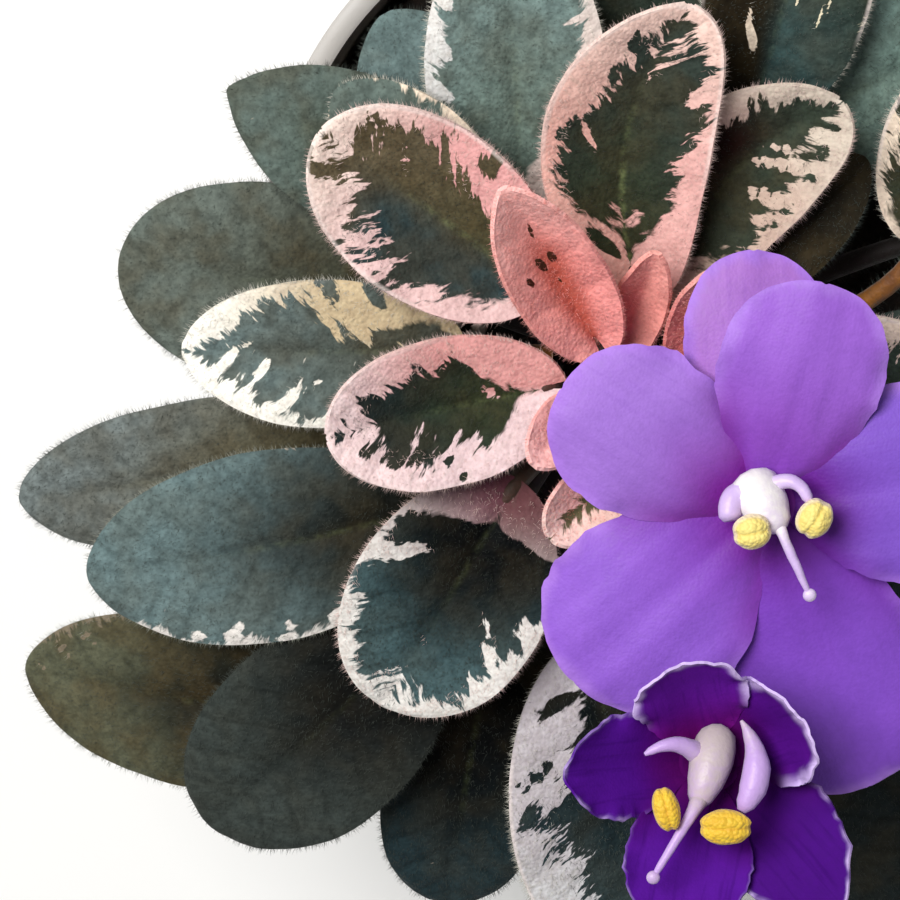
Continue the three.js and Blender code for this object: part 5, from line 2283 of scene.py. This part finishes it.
def open_bloom() -> Bloom:
    """The open light violet bloom.

    Returns:
        The bloom.
    """
    # Each petal's three colour factors are painted light and shade: the right-hand lobes are darkened as if
    # turned from the light.
    petals = (
        Petal(149, 21.5, 15.5, 5, 1.2, -0.12, 0.46, (1.03, 1.16, 0.96), throat=1.45),
        Petal(224, 23.8, 19, -3, 1.4, -0.1, 0.46, (0.85, 0.78, 0.95), throat=1.2),
        Petal(291, 29.5, 19, -8, 1.2, -0.1, 0.46, (0.65, 0.48, 0.82), throat=1.4),
        Petal(9, 21, 18.5, 1, 1.4, -0.1, 0.46, (0.66, 0.66, 0.88), throat=1.7),
        Petal(77, 21.4, 15, 10, 1.4, -0.14, 0.46, (0.93, 0.8, 0.92), throat=0.42),
        Petal(93, 23, 13.4, -4, 1.2, -0.1, 0.46, (1.14, 1.1, 0.84)),
    )
    return Bloom(
        name="open_bloom",
        centre=(11.6, -18.4, 99),
        lean=-4,
        sway=0,
        petals=petals,
        column=(((-1.4, 2, 0.4), (-0.3, 0.6, 2.2), (1.3, -1.6, 3.4)), (2.5, 2.5, 2.1, 1.1)),
        style=(((0.9, -0.9, 3.2), (1.8, -3, 4.2), (3.8, -7.4, 4.2)), (0.6, 0.32)),
        filaments=(
            (((-0.6, 1.6, 2), (2.1, 2.7, 2.9), (3.7, 0.9, 3.5)), (0.8, 0.65, 0.5)),
            (((-1.2, 1.4, 1.8), (-3, 1, 2.4), (-3.3, -0.8, 3.2)), (1.3, 1.0)),
        ),
        anthers=(
            Anther("left", (-1.5, -1.5, 4.7), (1.8, 1.6, 1.4), 10),
            Anther("right", (4.1, -0.4, 4.2), (1.9, 1.6, 1.4), 60),
        ),
        sepal_rise=0.12,
        tints=PetalTints(
            throat=srgb(116, 20, 142), inner=srgb(136, 74, 186), outer=srgb(154, 104, 210),
            edge=srgb(164, 116, 216), edge_width=1.0, crease_shade=0.6,
        ),
        frill=0.14,
        slot="open_petal",
    )


def opening_bloom() -> Bloom:
    """The deep indigo bloom that is still opening.

    Returns:
        The bloom.
    """
    # Each petal's three colour factors are painted light and shade, lightening the top lobe and darkening the
    # right-hand lobes.
    petals = (
        Petal(106, 13, 10.5, 38, -1.2, 0.2, 0.5, (1.5, 1.3, 1.22), 1.5, lift=0.3),
        Petal(32, 12, 11, 40, -1.2, 0.2, 0.5, (0.95, 0.7, 0.8), 2.2, lift=-0.4),
        Petal(314, 18.2, 11.4, 22, -1, 0.16, 0.8, (0.72, 0.66, 0.72), 0.85, lift=-0.5),
        Petal(257, 16, 11.6, 22, -1, 0.18, 0.6, (1.08, 1.1, 1.08), 0.3, lift=0.4),
        Petal(180, 14.5, 9.6, 28, -1, 0.2, 0.6, (0.95, 0.85, 0.98), 0.7),
    )
    return Bloom(
        name="opening_bloom",
        centre=(6.8, -41.4, 103.2),
        lean=-8,
        sway=-2,
        petals=petals,
        column=(((0.6, 2.8, 0.6), (0, 0.7, 3), (-1.3, -3.2, 4.6)), (1.6, 1.9, 2.0, 1.7, 0.9)),
        style=(((-1, -2.4, 4.4), (-2.3, -4.4, 6), (-5.2, -9.2, 6.8)), (0.9, 0.5, 0.32)),
        filaments=(
            (((-0.8, 0.8, 2.6), (-3.2, 2.4, 4.4), (-6, 1.6, 5)), (1.2, 0.8, 0.6, 0.3)),
            (((2.6, 4.4, 3.2), (4, 0.6, 4.4), (2.6, -3.4, 5.4)), (0.3, 0.7, 1.25, 1.3, 0.7)),
        ),
        anthers=(
            Anther("left", (-4.1, -3, 6.9), (2.1, 1.2, 1.2), 105),
            Anther("right", (1.2, -4.6, 6.6), (2.4, 1.6, 1.2), 0),
        ),
        sepal_rise=0.62,
        tints=PetalTints(
            throat=srgb(80, 6, 88), inner=srgb(70, 10, 112), outer=srgb(80, 20, 138),
            edge=srgb(208, 184, 236), edge_width=0.4, crease_shade=0.4,
        ),
        frill=0.22,
        slot="opening_petal",
    )


def main() -> None:
    """Builds the plant in order and sets the studio round it."""
    logging.basicConfig(level=logging.INFO, format="%(message)s")
    Bench.clear_selection()
    studio = Studio()
    studio.camera()
    studio.floor()
    studio.light()
    skins, crown = Skins(), Crown()
    blooms = [open_bloom(), opening_bloom()]
    Pot().build(skins)
    Soil().build(skins)
    crown.build(skins)
    Rosette(outer_leaves() + middle_leaves() + inner_leaves() + young_leaves()).build(crown, skins)
    FlowerStem().build(crown, blooms, skins)
    for bloom in blooms:
        bloom.build(skins)
    Bench.clear_selection()


if __name__ == "__main__":
    main()
